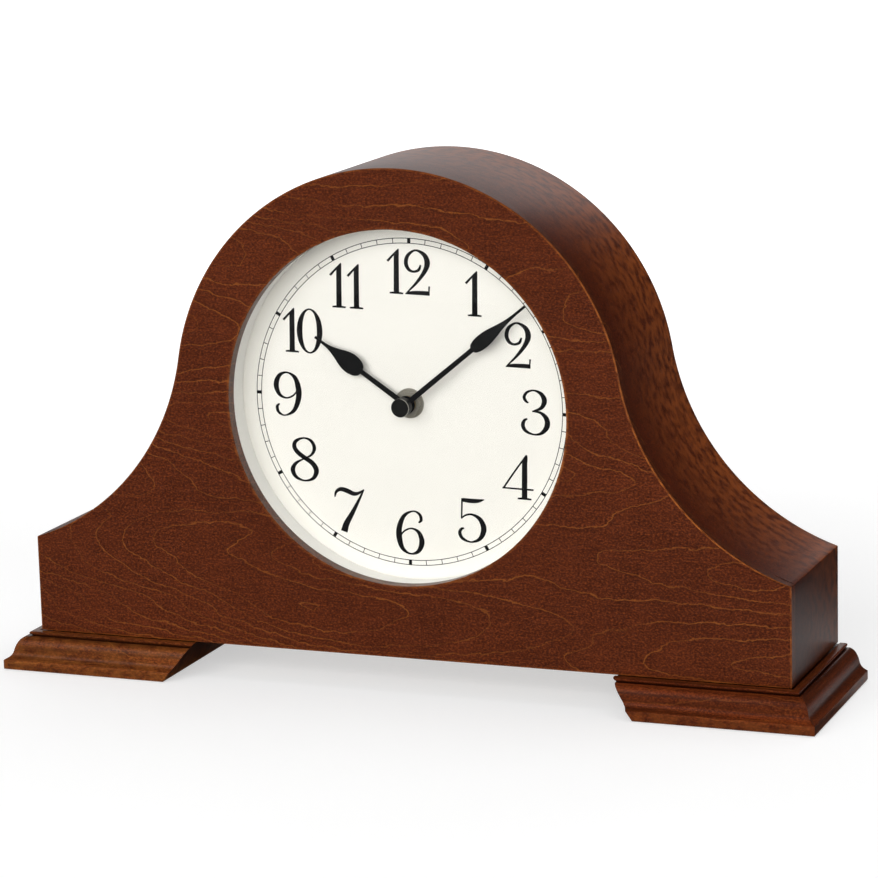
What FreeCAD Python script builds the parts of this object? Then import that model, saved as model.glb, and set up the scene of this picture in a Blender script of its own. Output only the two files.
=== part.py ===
"""Tambour mantel clock: a stained wooden case on two moulded feet, with a white dial under domed
glass and a battery chime movement behind it.

Millimetres. +Z is up and -Y is the front. The origin is the middle of the bounding box's underside.
Depths behind the case's front face are written as positive numbers and turned into Y by behind().
"""
import FreeCAD, Part
import math
import os

V = FreeCAD.Vector

# ---- driving dimensions: case -------------------------------------------------------------------
case_width = 372.0            # over the two end boards
case_depth = 80.5             # front face to the wrap's back edge
shoulder_height = 46.2        # case underside to the sharp shoulder tip
hood_radius = 109.1           # round top
hood_centre_height = 118.2    # case underside to the round top's centre
flank_radius = 115.8          # hollow curve between the round top and the shoulder
panel_thickness = 6.0         # front panel
wrap_thickness = 4.0          # bent veneer ply over the top
end_thickness = 6.0           # upright end boards
bottom_thickness = 8.0
back_inset = 5.0              # wrap's back edge to the back panel's outer face
back_thickness = 5.0
former_thickness = 9.0        # shaped rib that the back panel is screwed to
former_width = 14.0           # wood left around the former's cut-out
glue_gap = 0.05               # clearance of a loose wooden part inside the shell

# ---- driving dimensions: feet -------------------------------------------------------------------
foot_height = 17.2            # floor to the case's underside
foot_projection = 14.0        # band stands out this far at the front and the outer end
bead_projection = 4.4
bead_height = 1.6
quirk_width = 0.6             # flat between the bead and the swell
swell_width = 5.2             # convex upper part of the moulding
swell_height = 6.9
swell_shoulder = 3.8          # the swell's control point, out from its start
swell_dip = 1.0               # and below it
hollow_pull = 0.46            # hollow's control point, as a share of the swell's end tangent
band_height = 4.5             # upright edge at the bottom
foot_inner_bottom = 116.3     # middle of the clock to the foot's inner end, at the floor
foot_inner_top = 104.0        # and at the case's underside
pad_radius = 8.0
pad_thickness = 1.2
pad_proud = 0.4               # felt stands this far below the wood
pad_inset = 16.0              # pad centre to the foot's edges

# ---- driving dimensions: dial and glass ---------------------------------------------------------
dial_centre_height = 116.2    # case underside to the hands' axis
opening_rise = 0.6            # opening's centre above the hands' axis
opening_radius = 82.6
glass_lap = 4.4               # glass reaches this far behind the front panel
glass_thickness = 2.0
glass_rise = 5.0              # how far the dome stands in front of its rim
glass_seat_gap = 0.05
dial_depth = 19.9             # case front to the dial's face
dial_thickness = 0.8
dial_margin = 2.0             # dial's edge inside the wooden ring's edge
board_thickness = 4.0         # board behind the dial that carries the movement
ring_width = 11.0             # wooden ring between the front panel and the dial
spacer_setback = 1.0          # white ring's bore behind the opening's edge
seat_clearance = 0.3
dial_screw_count = 4
dial_screw_radius = 1.5
dial_screw_length = 12.0

# ---- driving dimensions: hands ------------------------------------------------------------------
hour_length = 53.4
hour_leaf_start = 26.0
hour_leaf_widest = 32.5
hour_leaf_width = 10.2
minute_hand_margin = 6.3      # tip of the minute hand to the white ring's bore
minute_leaf_start = 44.0
minute_leaf_widest = 50.5
minute_leaf_width = 6.6
arm_width = 2.6
arm_taper = 0.85              # arm's width at the leaf, as a share of its width at the hub
tip_width = 1.2
leaf_steps = 14
hand_thickness = 0.5
boss_radius = 4.3
minute_angle = 51.0           # clockwise from 12
hour_angle = 304.05
hour_hand_height = 4.4        # back of the hand above the dial's face
minute_hand_height = 7.6
cap_radius = 4.4
cap_height = 4.2

# ---- driving dimensions: hub --------------------------------------------------------------------
bushing_radius = 4.0
bushing_proud = 3.1           # above the dial
bushing_play = 0.2
washer_radius = 7.0
washer_thickness = 0.5
nut_across_flats = 11.0
nut_thickness = 2.1
grommet_thickness = 1.0
hour_pipe_radius = 2.5
arbor_radius = 1.3
running_clearance = 0.05
minute_thread_radius = 1.0

# ---- driving dimensions: movement ---------------------------------------------------------------
box_width = 76.0
box_above = 72.0              # hands' axis to the top of the movement box
box_wall = 1.6
box_play = 0.3                # battery trough clear of the front half
box_parting = 15.0            # depth of the front half
battery_radius = 13.1
battery_length = 50.0
trough_wall = 1.4
trough_play = 0.4
contact_space = 3.6           # room for a contact at each end of the battery
pivot_radius = 0.5
gear_plate_gap = 14.7         # inside of the box front to the gear plate
gear_plate_thickness = 1.2
board_gap = 1.4               # gear plate to the circuit board
circuit_thickness = 1.2
knob_radius = 7.0
knob_thickness = 4.6
knob_shaft_radius = 1.2
slider_travel = 8.0
slider_height = 10.0          # hands' axis up to the two sliders
speaker_above = 50.0
speaker_radius = 20.0
box_screw_radius = 0.9
box_boss_radius = 2.2

# ---- driving dimensions: back door --------------------------------------------------------------
door_width = 138.8
door_height = 148.8
door_gap = 0.6
door_bottom = 24.6            # case underside to the door's lower edge
hinge_height = 26.0
hinge_end_space = 22.0        # door corner to the hinge
hinge_knuckle_radius = 1.9
hinge_pin_radius = 1.0
hinge_leaf_thickness = 0.8
hinge_leaf_width = 9.0
hinge_lift = 2.2              # hinge axis above the door's outer face
hinge_screw_radius = 0.8
hinge_screw_bite = 4.0        # length in the wood
pull_radius = 6.0
pull_height = 4.4
pull_rim = 2.4                # thickness of the button's round top
pull_stem_radius = 3.0
pull_inset = 14.0             # door's free edge to the pull
slot_count = 7
slot_width = 3.2
slot_length = 34.0
slot_pitch = 8.0
magnet_size = 8.0

# ---- gear train: teeth and modules --------------------------------------------------------------
teeth = {"minute_pinion": 12, "motion_wheel": 36, "motion_pinion": 10, "hour_wheel": 40,
         "knob_pinion": 12, "centre_wheel": 64, "third_pinion": 8, "third_wheel": 60,
         "seconds_pinion": 8, "seconds_wheel": 60, "intermediate_pinion": 10,
         "intermediate_wheel": 50, "rotor_pinion": 10}
motion_module = 0.35
third_module = 0.31
seconds_module = 0.30
rotor_module = 0.26
motion_bearing = 200.0        # directions from one axis to the next, degrees from +X towards +Z
knob_bearing = 200.0
third_bearing = 340.0
intermediate_bearing = 60.0
rotor_bearing = 0.0
layer_gap = {"hour": 0.7, "motion": 2.3, "centre": 4.3, "third": 6.1, "seconds": 7.7,
             "intermediate": 9.3, "magnet": 10.9}   # box front's inside to each wheel's front face
wheel_thickness = 0.9

# ---- places worked out from them ----------------------------------------------------------------
half_width = case_width / 2
base_z = foot_height
front_y = -(case_depth + foot_projection) / 2 + foot_projection
back_y = front_y + case_depth
dial_z = base_z + dial_centre_height
opening_z = dial_z + opening_rise
hood_z = base_z + hood_centre_height
back_outer = case_depth - back_inset
back_inner = back_outer - back_thickness
former_front = back_inner - former_thickness
glass_radius = opening_radius + glass_lap
spacer_inner_radius = opening_radius + spacer_setback
minute_length = spacer_inner_radius - minute_hand_margin
ring_outer_radius = glass_radius + ring_width
dial_radius = ring_outer_radius - dial_margin
board_front = dial_depth + dial_thickness
box_front = board_front + board_thickness + grommet_thickness
box_inside = box_front + box_wall
trough_depth = 2 * (battery_radius + trough_play) + 0.6
box_back = box_inside + box_play + trough_wall + trough_depth
layer = {name: box_inside + gap for name, gap in layer_gap.items()}
gear_plate_depth = box_inside + gear_plate_gap
board_depth = gear_plate_depth + gear_plate_thickness + board_gap
plate_low = -16.4             # gear plate's lower edge, from the hands' axis
battery_below = -plate_low + 1.0 + 2 * trough_wall + trough_play + battery_radius
box_below = battery_below + battery_radius + trough_play + trough_wall + box_play + box_wall
door_left = -door_width / 2
door_low = base_z + door_bottom
hinge_x = door_left - door_gap / 2
battery_z = dial_z - battery_below
battery_depth = box_back - battery_radius - trough_play
pull_place = (-door_left - pull_inset, door_low + door_height / 2)


def behind(depth):
    """Y of a point that lies depth behind the case's front face."""
    return front_y + depth


def block(x0, x1, d0, d1, z0, z1):
    """Box between two X, two depths and two Z."""
    return Part.makeBox(x1 - x0, d1 - d0, z1 - z0, V(x0, behind(d0), z0))


def rod(radius, x, z, d0, d1):
    """Cylinder along Y between two depths."""
    return Part.makeCylinder(radius, d1 - d0, V(x, behind(d0), z), V(0, 1, 0))


def tube(outer, inner, x, z, d0, d1):
    """Hollow cylinder along Y."""
    return rod(outer, x, z, d0, d1).cut(rod(inner, x, z, d0 - 1, d1 + 1))


def upright_rod(radius, x, y, z0, z1):
    """Cylinder along Z."""
    return Part.makeCylinder(radius, z1 - z0, V(x, y, z0), V(0, 0, 1))


def polygon_face(points):
    """Flat face through a closed list of points."""
    return Part.Face(Part.makePolygon(list(points) + [points[0]]))


def lying(face, d0, d1):
    """Prism of an XZ face that was drawn at Y = 0, between two depths."""
    moved = face.copy()
    moved.translate(V(0, behind(d0), 0))
    return moved.extrude(V(0, d1 - d0, 0))


def mirrored(shape):
    """The same shape on the other side of the YZ plane."""
    return shape.mirror(V(0, 0, 0), V(1, 0, 0))


def one(shapes):
    """Several separate solids kept as one node."""
    return Part.makeCompound(list(shapes))


def fused(first, others):
    """Union without seams."""
    return first.multiFuse(list(others)).removeSplitter()


# ---- case outline -------------------------------------------------------------------------------
def flank_centre():
    """Centre of the right hollow curve: it touches the round top and passes the shoulder tip."""
    hood = V(0, 0, hood_z)
    tip = V(half_width, 0, base_z + shoulder_height)
    reach = hood_radius + flank_radius
    gap = (tip - hood).Length
    along = (gap ** 2 + reach ** 2 - flank_radius ** 2) / (2 * gap)
    aside = math.sqrt(reach ** 2 - along ** 2)
    to_tip = (tip - hood).normalize()
    up = V(-to_tip.z, 0, to_tip.x)
    return hood + to_tip * along + up * aside


def outline_edges(inset, end_inset):
    """Edges from the left shoulder over the top to the right shoulder, moved inwards."""
    centre = flank_centre()
    hood = V(0, 0, hood_z)
    radius = flank_radius + inset
    top = hood_radius - inset
    joint = hood + (centre - hood).normalize() * top
    end_x = half_width - end_inset
    tip = V(end_x, 0, centre.z - math.sqrt(radius ** 2 - (end_x - centre.x) ** 2))
    middle = centre + ((joint - centre) + (tip - centre)).normalize() * radius
    left = [V(-p.x, 0, p.z) for p in (tip, middle, joint)]
    return [Part.Arc(left[0], left[1], left[2]).toShape(),
            Part.Arc(left[2], hood + V(0, 0, top), joint).toShape(),
            Part.Arc(joint, middle, tip).toShape()], left[0], tip


def outline_face(inset, end_inset, bottom_inset):
    """The whole case outline as a face, moved inwards."""
    edges, left, right = outline_edges(inset, end_inset)
    low = base_z + bottom_inset
    corners = [right, V(right.x, 0, low), V(left.x, 0, low), left]
    edges += [Part.LineSegment(a, b).toShape() for a, b in zip(corners, corners[1:])]
    return Part.Face(Part.Wire(Part.__sortEdges__(edges)))


def front_panel():
    """Full-outline front board with the round dial opening."""
    hole = rod(opening_radius, 0, opening_z, -1, panel_thickness + 1)
    return lying(outline_face(0, 0, 0), 0, panel_thickness).cut(hole)


def hood_wrap():
    """Bent ply from shoulder tip to shoulder tip, mitred where it meets the end boards."""
    outer, left, right = outline_edges(0, 0)
    inner, inner_left, inner_right = outline_edges(wrap_thickness, end_thickness)
    ends = [Part.LineSegment(left, inner_left).toShape(), Part.LineSegment(right, inner_right).toShape()]
    face = Part.Face(Part.Wire(Part.__sortEdges__(outer + inner + ends)))
    return lying(face, panel_thickness, case_depth)


def end_board():
    """Right end board, mitred under the wrap."""
    tip = outline_edges(0, 0)[2]
    inner = outline_edges(wrap_thickness, end_thickness)[2]
    face = polygon_face([V(half_width, 0, base_z), tip, inner, V(inner.x, 0, base_z)])
    return lying(face, panel_thickness, case_depth)


def foot_screw_places():
    """X and Y of the four screws that hold the feet."""
    x = (foot_inner_bottom + half_width) / 2
    y = case_depth / 4
    middle = (front_y + back_y) / 2
    return [(side * x, middle + way * y) for side in (-1, 1) for way in (-1, 1)]


foot_screw_radius = 2.0
foot_head_radius = 4.2
foot_head_height = 2.4
foot_head_depth = 4.0         # floor to the underside of the screw head
foot_screw_bite = 6.8         # length in the bottom board
foot_screw_length = foot_height - foot_head_depth + foot_screw_bite


def foot_screws():
    """Wood screws up through the feet into the bottom board."""
    screws = []
    for x, y in foot_screw_places():
        head = Part.makeCone(foot_head_radius, foot_screw_radius, foot_head_height, V(x, y, foot_head_depth))
        shank_z = foot_head_depth + foot_head_height
        shank = upright_rod(foot_screw_radius, x, y, shank_z, foot_head_depth + foot_screw_length)
        slot = Part.makeBox(foot_head_radius * 1.4, 0.8, 1.0,
                            V(x - foot_head_radius * 0.7, y - 0.4, foot_head_depth))
        screws.append(head.fuse(shank).removeSplitter().cut(slot))
    return one(screws)


def foot_screw_holes():
    """Counterbores and clearance holes for the foot screws."""
    holes = []
    for x, y in foot_screw_places():
        holes.append(upright_rod(foot_head_radius + seat_clearance, x, y, -1,
                                 foot_head_depth + foot_head_height))
        top = foot_head_depth + foot_screw_length + seat_clearance
        holes.append(upright_rod(foot_screw_radius + running_clearance, x, y, foot_head_depth, top))
    return one(holes)


def bottom_board():
    """Board between the end boards, drilled for the foot screws."""
    reach = half_width - end_thickness
    board = block(-reach, reach, panel_thickness, case_depth, base_z, base_z + bottom_thickness)
    return board.cut(foot_screw_holes())


def former():
    """Rib that shapes the wrap and carries the back panel."""
    wide = outline_face(wrap_thickness + glue_gap, end_thickness + glue_gap, bottom_thickness + glue_gap)
    inset = wrap_thickness + former_width
    hollow = outline_face(inset, end_thickness + former_width, bottom_thickness + former_width)
    rib = lying(wide, former_front, back_inner)
    rib = rib.cut(lying(hollow, former_front - 1, back_inner + 1))
    return rib.cut(one(back_screw_shape(x, z, running_clearance) for x, z in back_screw_places()))


back_screw_radius = 1.4
back_screw_head = 2.9
back_screw_head_height = 1.6
back_screw_length = 11.0


def back_screw_places():
    """Screws around the back panel's edge, in the middle of the former's width."""
    reach = hood_radius - wrap_thickness - former_width / 2
    places = [(reach * math.sin(a), hood_z + reach * math.cos(a)) for a in (-0.9, 0.0, 0.9)]
    low = base_z + bottom_thickness + former_width / 2
    side = half_width - end_thickness - former_width / 2
    return places + [(-side, low), (-side / 2, low), (side / 2, low), (side, low)]


def back_screw_shape(x, z, grow):
    """One back panel screw, or its hole when grown by a clearance."""
    shank = rod(back_screw_radius + grow, x, z, back_outer - back_screw_length - grow, back_outer)
    head = rod(back_screw_head + grow, x, z, back_outer, back_outer + back_screw_head_height)
    return fused(shank, [head])


def back_screws():
    """Pan-head screws with a cross slot."""
    screws = []
    for x, z in back_screw_places():
        top = back_outer + back_screw_head_height
        slots = [block(x - 1.8, x + 1.8, top - 0.8, top + 1, z - 0.35, z + 0.35),
                 block(x - 0.35, x + 0.35, top - 0.8, top + 1, z - 1.8, z + 1.8)]
        screws.append(back_screw_shape(x, z, 0).cut(one(slots)))
    return one(screws)


def back_panel():
    """Inset back board with the door opening."""
    face = outline_face(wrap_thickness + glue_gap, end_thickness + glue_gap, bottom_thickness + glue_gap)
    panel = lying(face, back_inner, back_outer)
    opening = block(door_left - door_gap, -door_left + door_gap, back_inner - 1, back_outer + 1,
                    door_low - door_gap, door_low + door_height + door_gap)
    screws = one(back_screw_shape(x, z, running_clearance) for x, z in back_screw_places())
    hinge_holes = one(hinge_screw(x, z, running_clearance) for x, z in hinge_screw_places(-1))
    return panel.cut(opening).cut(screws).cut(hinge_holes)


# ---- feet ---------------------------------------------------------------------------------------
def moulding_edges(origin, out, back_reach):
    """Moulded profile as edges: out is the direction it stands out in, back_reach the plain side."""
    up = V(0, 0, 1)
    band_top = pad_proud + band_height
    bead_low = base_z - bead_height
    start = (bead_projection + quirk_width, bead_low)
    turn = (start[0] + swell_width, bead_low - swell_height)
    shoulder = (start[0] + swell_shoulder, bead_low - swell_dip)
    hollow = tuple(b + (b - a) * hollow_pull for a, b in zip(shoulder, turn))

    def at(q, z):
        return origin + out * q + up * z

    def sweep(first, control, last):
        curve = Part.BezierCurve()
        curve.setPoles([at(*first), at(*control), at(*last)])
        return curve.toShape()

    line = Part.LineSegment
    return [line(at(-back_reach, base_z), at(bead_projection, base_z)).toShape(),
            line(at(bead_projection, base_z), at(bead_projection, bead_low)).toShape(),
            line(at(bead_projection, bead_low), at(*start)).toShape(),
            sweep(start, shoulder, turn),
            sweep(turn, hollow, (foot_projection, band_top)),
            line(at(foot_projection, band_top), at(foot_projection, pad_proud)).toShape(),
            line(at(foot_projection, pad_proud), at(-back_reach, pad_proud)).toShape(),
            line(at(-back_reach, pad_proud), at(-back_reach, base_z)).toShape()]


def foot():
    """Right foot: the same moulding along the front and the outer end, mitred at the corner."""
    length = half_width + foot_projection - foot_inner_top
    along = Part.Face(Part.Wire(moulding_edges(V(foot_inner_top, front_y, 0), V(0, -1, 0), case_depth)))
    along = along.extrude(V(length, 0, 0))
    reach = half_width - foot_inner_top
    across = Part.Face(Part.Wire(moulding_edges(V(half_width, back_y, 0), V(1, 0, 0), reach)))
    across = across.extrude(V(0, -case_depth - foot_projection, 0))
    wood = along.common(across)
    slope = [V(foot_inner_top - 1, 0, base_z + 1), V(foot_inner_top, 0, base_z),
             V(foot_inner_bottom, 0, 0), V(foot_inner_bottom, 0, -1), V(foot_inner_top - 1, 0, -1)]
    undercut = lying(polygon_face(slope), -foot_projection - 1, case_depth + 1)
    return wood.cut(undercut).cut(foot_screw_holes()).cut(pads(seat_clearance))


def pads(grow):
    """Felt discs let into the feet, or their recesses when grown."""
    xs = (foot_inner_bottom + pad_inset, half_width + foot_projection - pad_inset)
    ys = (front_y - foot_projection + pad_inset, back_y - pad_inset)
    return one(upright_rod(pad_radius + grow, side * x, y, -grow, pad_thickness)
               for side in (-1, 1) for x in xs for y in ys)


# ---- back door ----------------------------------------------------------------------------------
def hinge_centres():
    """Height of the middle of each hinge."""
    low = door_low + hinge_end_space + hinge_height / 2
    return (low, door_low + door_height - hinge_end_space - hinge_height / 2)


def hinge_leaf(z, side):
    """One leaf: side -1 has the two outer knuckles, side +1 the middle one."""
    third = hinge_height / 3
    low = z - hinge_height / 2
    zones = [low, low + 2 * third] if side < 0 else [low + third]
    start = hinge_knuckle_radius + seat_clearance
    xs = sorted((hinge_x + side * start, hinge_x + side * (start + hinge_leaf_width)))
    plate = block(xs[0], xs[1], back_outer, back_outer + hinge_leaf_thickness, low, low + hinge_height)
    pieces = []
    for zone in zones:
        play = running_clearance
        xs = sorted((hinge_x, hinge_x + side * start))
        pieces.append(block(xs[0], xs[1], back_outer + hinge_lift - hinge_knuckle_radius,
                            back_outer + hinge_leaf_thickness, zone + play, zone + third - play))
        pieces.append(upright_rod(hinge_knuckle_radius, hinge_x, behind(back_outer + hinge_lift),
                                  zone + play, zone + third - play))
    leaf = fused(plate, pieces)
    bore = upright_rod(hinge_pin_radius + running_clearance, hinge_x, behind(back_outer + hinge_lift),
                       low - 1, low + hinge_height + 1)
    holes = one(rod(hinge_screw_radius + running_clearance, x, hz, back_outer - 1, back_outer + 2)
                for x, hz in hinge_screw_places(side))
    return leaf.cut(bore).cut(holes)


def hinge_screw_places(side):
    """Two screws in each leaf."""
    x = hinge_x + side * (hinge_knuckle_radius + seat_clearance + hinge_leaf_width * 0.55)
    return [(x, z + way * hinge_height * 0.3) for z in hinge_centres() for way in (-1, 1)]


def hinge_screw(x, z, grow):
    """Round-head screw through a leaf into the wood."""
    shank = rod(hinge_screw_radius + grow, x, z, back_outer - hinge_screw_bite - grow,
                back_outer + hinge_leaf_thickness)
    head = rod(hinge_screw_radius * 2, x, z, back_outer + hinge_leaf_thickness,
               back_outer + hinge_leaf_thickness + 0.7)
    return fused(shank, [head])


def hinge_pins():
    """A plain pin down each hinge."""
    return one(upright_rod(hinge_pin_radius, hinge_x, behind(back_outer + hinge_lift),
                           z - hinge_height / 2, z + hinge_height / 2) for z in hinge_centres())


def door_pull():
    """Low turned button near the door's free edge."""
    x, z = pull_place
    top_at = back_outer + pull_height
    stem = rod(pull_stem_radius, x, z, back_inner + 1.0, top_at - pull_rim / 2)
    top = rod(pull_radius, x, z, top_at - pull_rim, top_at)
    return fused(stem, [top])


def door():
    """Flush door with sound slots."""
    panel = block(door_left, -door_left, back_inner, back_outer, door_low, door_low + door_height)
    slots = []
    top = door_low + door_height - 14.0
    for i in range(slot_count):
        x = (i - (slot_count - 1) / 2) * slot_pitch
        radius = slot_width / 2
        slots.append(block(x - radius, x + radius, back_inner - 1, back_outer + 1,
                           top - slot_length + radius, top - radius))
        slots += [rod(radius, x, z, back_inner - 1, back_outer + 1)
                  for z in (top - radius, top - slot_length + radius)]
    for x, z in hinge_screw_places(1):
        slots.append(hinge_screw(x, z, running_clearance))
    x, z = pull_place
    pull = rod(pull_stem_radius, x, z, back_inner + 1, back_outer + 1)
    return panel.cut(one(slots)).cut(pull)


def catch_magnet():
    """Magnet in a block behind the door's free edge, glued to the back panel's inner face."""
    z = door_low + door_height / 2
    x = -door_left + door_gap + seat_clearance
    body = block(x - magnet_size, x + magnet_size, back_inner - magnet_size - 1.0, back_inner - 1.0,
                 z - magnet_size, z + magnet_size)
    foot_block = block(x + seat_clearance, x + magnet_size, back_inner - 1.0, back_inner,
                       z - magnet_size, z + magnet_size)
    return fused(body, [foot_block])


def catch_plate():
    """Steel plate on the door that the magnet holds."""
    z = door_low + door_height / 2
    x = -door_left
    return block(x - magnet_size, x - 1.0, back_inner - 0.6, back_inner, z - magnet_size, z + magnet_size)


# ---- dial ---------------------------------------------------------------------------------------
def turned(points, arcs):
    """Solid turned about the opening's axis from a closed profile of (radius, depth) points.

    arcs maps the index of a point to the middle point of the arc that leads to the next one.
    """
    def at(pair):
        return V(pair[0], behind(pair[1]), opening_z)

    edges = []
    for i, start in enumerate(points):
        end = points[(i + 1) % len(points)]
        if i in arcs:
            edges.append(Part.Arc(at(start), at(arcs[i]), at(end)).toShape())
        else:
            edges.append(Part.LineSegment(at(start), at(end)).toShape())
    face = Part.Face(Part.Wire(edges))
    return face.revolve(V(0, behind(0), opening_z), V(0, 1, 0), 360)


def dome_depth(radius, drop):
    """Depth of the glass at a radius; drop is 0 on its front face and its thickness on its back."""
    sphere = (glass_radius ** 2 + glass_rise ** 2) / (2 * glass_rise)
    seat = panel_thickness + glass_seat_gap + math.sqrt(sphere ** 2 - opening_radius ** 2)
    return seat + drop - math.sqrt(sphere ** 2 - radius ** 2)


def glass():
    """Domed glass of even thickness that rests on the edge of the front panel's opening."""
    rim = glass_radius
    half = rim / 2
    back = glass_thickness
    points = [(0, dome_depth(0, 0)), (rim, dome_depth(rim, 0)), (rim, dome_depth(rim, back)),
              (0, dome_depth(0, back))]
    return turned(points, {0: (half, dome_depth(half, 0)), 2: (half, dome_depth(half, back))})


def dial_ring():
    """Wooden ring glued behind the front panel, bored for the glass."""
    ring = tube(ring_outer_radius, glass_radius + seat_clearance, 0, opening_z, panel_thickness, dial_depth)
    return ring.cut(one(dial_screw(x, z, running_clearance) for x, z in dial_screw_places()))


def spacer_ring():
    """White ring that holds the glass off the dial."""
    start = dome_depth(glass_radius, glass_thickness) + glass_seat_gap
    return tube(glass_radius, spacer_inner_radius, 0, opening_z, start, dial_depth)


def dial_screw_places():
    """Four screws midway across the wooden ring."""
    reach = (ring_outer_radius + glass_radius) / 2
    step = 2 * math.pi / dial_screw_count
    return [(reach * math.cos(step * (i + 0.5)), opening_z + reach * math.sin(step * (i + 0.5)))
            for i in range(dial_screw_count)]


def dial_screw(x, z, grow):
    """Screw from behind through the board and the dial into the ring."""
    head_at = board_front + board_thickness
    shank = rod(dial_screw_radius + grow, x, z, head_at - dial_screw_length - grow, head_at)
    return fused(shank, [rod(dial_screw_radius * 2, x, z, head_at, head_at + 1.2)])


def bushing_hole():
    """Hole for the bushing through the dial and the board."""
    return rod(bushing_radius + bushing_play, 0, dial_z, dial_depth - 1, box_front)


def dial_plate():
    """Thin painted plate, bored for the bushing."""
    plate = rod(dial_radius, 0, opening_z, dial_depth, board_front).cut(bushing_hole())
    return plate.cut(one(dial_screw(x, z, running_clearance) for x, z in dial_screw_places()))


def dial_board():
    """Board behind the dial that carries the movement."""
    board = rod(ring_outer_radius, 0, opening_z, board_front, board_front + board_thickness)
    screws = one(dial_screw(x, z, running_clearance) for x, z in dial_screw_places())
    return board.cut(bushing_hole()).cut(screws)


# ---- hands --------------------------------------------------------------------------------------
def hand_outline(length, leaf_start, leaf_widest, leaf_width):
    """Straight arm, round-shouldered leaf and drawn-out tip, lying along +Z from the hands' axis.

    The leaf swells as a quarter ellipse and thins as the cube of a cosine.
    """
    arm = arm_width / 2
    leaf = leaf_width / 2
    side = [V(arm, 0, 0), V(arm * arm_taper, 0, leaf_start)]
    for i in range(1, leaf_steps):
        share = i / leaf_steps
        swell = math.sqrt(1 - (1 - share) ** 2)
        side.append(V(arm * arm_taper + (leaf - arm * arm_taper) * swell, 0,
                      leaf_start + (leaf_widest - leaf_start) * share))
    for i in range(leaf_steps + 1):
        share = i / leaf_steps
        thin = math.cos(math.pi / 2 * share) ** 3
        side.append(V(tip_width / 2 + (leaf - tip_width / 2) * thin, 0,
                      leaf_widest + (length - leaf_widest) * share))
    return polygon_face(side + [V(-p.x, 0, p.z) for p in reversed(side)])


def hand(outline, angle, height, bore):
    """Pressed hand with a round boss, turned clockwise from 12 and put on its post."""
    d1 = dial_depth - height
    d0 = d1 - hand_thickness
    face = outline.copy()
    face.translate(V(0, 0, dial_z))
    blade = lying(face, d0, d1)
    blade = fused(blade, [rod(boss_radius, 0, dial_z, d0, d1)])
    blade.rotate(V(0, 0, dial_z), V(0, 1, 0), angle)
    return blade.cut(rod(bore, 0, dial_z, d0 - 1, d1 + 1))


def hour_hand():
    """Short hand, pushed on the hour pipe."""
    shape = hand_outline(hour_length, hour_leaf_start, hour_leaf_widest, hour_leaf_width)
    return hand(shape, hour_angle, hour_hand_height, hour_pipe_radius)


def minute_hand():
    """Long hand, on the arbor's threaded end."""
    shape = hand_outline(minute_length, minute_leaf_start, minute_leaf_widest, minute_leaf_width)
    return hand(shape, minute_angle, minute_hand_height, minute_thread_radius)


def cap_nut():
    """Round closed nut over the minute hand."""
    d1 = dial_depth - minute_hand_height - hand_thickness
    nut = rod(cap_radius, 0, dial_z, d1 - cap_height, d1)
    front = [edge for edge in nut.Edges if edge.BoundBox.YMax < behind(d1 - cap_height) + 0.01]
    nut = nut.makeFillet(0.8, front)
    return nut.cut(rod(minute_thread_radius + 0.01, 0, dial_z, d1 - cap_height * 0.6, d1 + 1))


# ---- hub ----------------------------------------------------------------------------------------
def bushing():
    """Threaded tube moulded into the movement, through the board and the dial."""
    return tube(bushing_radius, hour_pipe_radius + running_clearance, 0, dial_z,
                dial_depth - bushing_proud, box_inside)


def dial_washer():
    """Thin washer on the dial."""
    return tube(washer_radius, bushing_radius + running_clearance, 0, dial_z,
                dial_depth - washer_thickness, dial_depth)


def mounting_nut():
    """Hexagon nut that clamps dial, board and movement together."""
    corner = nut_across_flats / math.sqrt(3)
    points = [V(corner * math.cos(math.pi / 3 * i), 0, dial_z + corner * math.sin(math.pi / 3 * i))
              for i in range(6)]
    d1 = dial_depth - washer_thickness
    nut = lying(polygon_face(points), d1 - nut_thickness, d1)
    return nut.cut(rod(bushing_radius + 0.02, 0, dial_z, d1 - nut_thickness - 1, d1 + 1))


def grommet():
    """Rubber washer between board and movement."""
    return tube(bushing_radius + 5, bushing_radius + 0.1, 0, dial_z,
                box_front - grommet_thickness, box_front)


# ---- gear train ---------------------------------------------------------------------------------
def axis_from(start, distance, bearing):
    """Next axis from the one before it."""
    turn = math.radians(bearing)
    return (start[0] + distance * math.cos(turn), start[1] + distance * math.sin(turn))


def mesh_distance(a, b, module):
    """Centre distance of two meshed gears."""
    return module * (teeth[a] + teeth[b]) / 2


hand_axis = (0.0, dial_z)
motion_axis = axis_from(hand_axis, mesh_distance("minute_pinion", "motion_wheel", motion_module),
                        motion_bearing)
knob_axis = axis_from(motion_axis, mesh_distance("motion_wheel", "knob_pinion", motion_module), knob_bearing)
third_axis = axis_from(hand_axis, mesh_distance("seconds_pinion", "third_wheel", third_module),
                       third_bearing)
intermediate_axis = axis_from(hand_axis,
                              mesh_distance("intermediate_pinion", "seconds_wheel", seconds_module),
                              intermediate_bearing)
rotor_axis = axis_from(intermediate_axis, mesh_distance("rotor_pinion", "intermediate_wheel", rotor_module),
                       rotor_bearing)
# The second pair on a shared centre distance gets the module that fills it.
hour_module = motion_module * (teeth["minute_pinion"] + teeth["motion_wheel"]) / (
    teeth["motion_pinion"] + teeth["hour_wheel"])
centre_module = third_module * (teeth["seconds_pinion"] + teeth["third_wheel"]) / (
    teeth["third_pinion"] + teeth["centre_wheel"])


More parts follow.
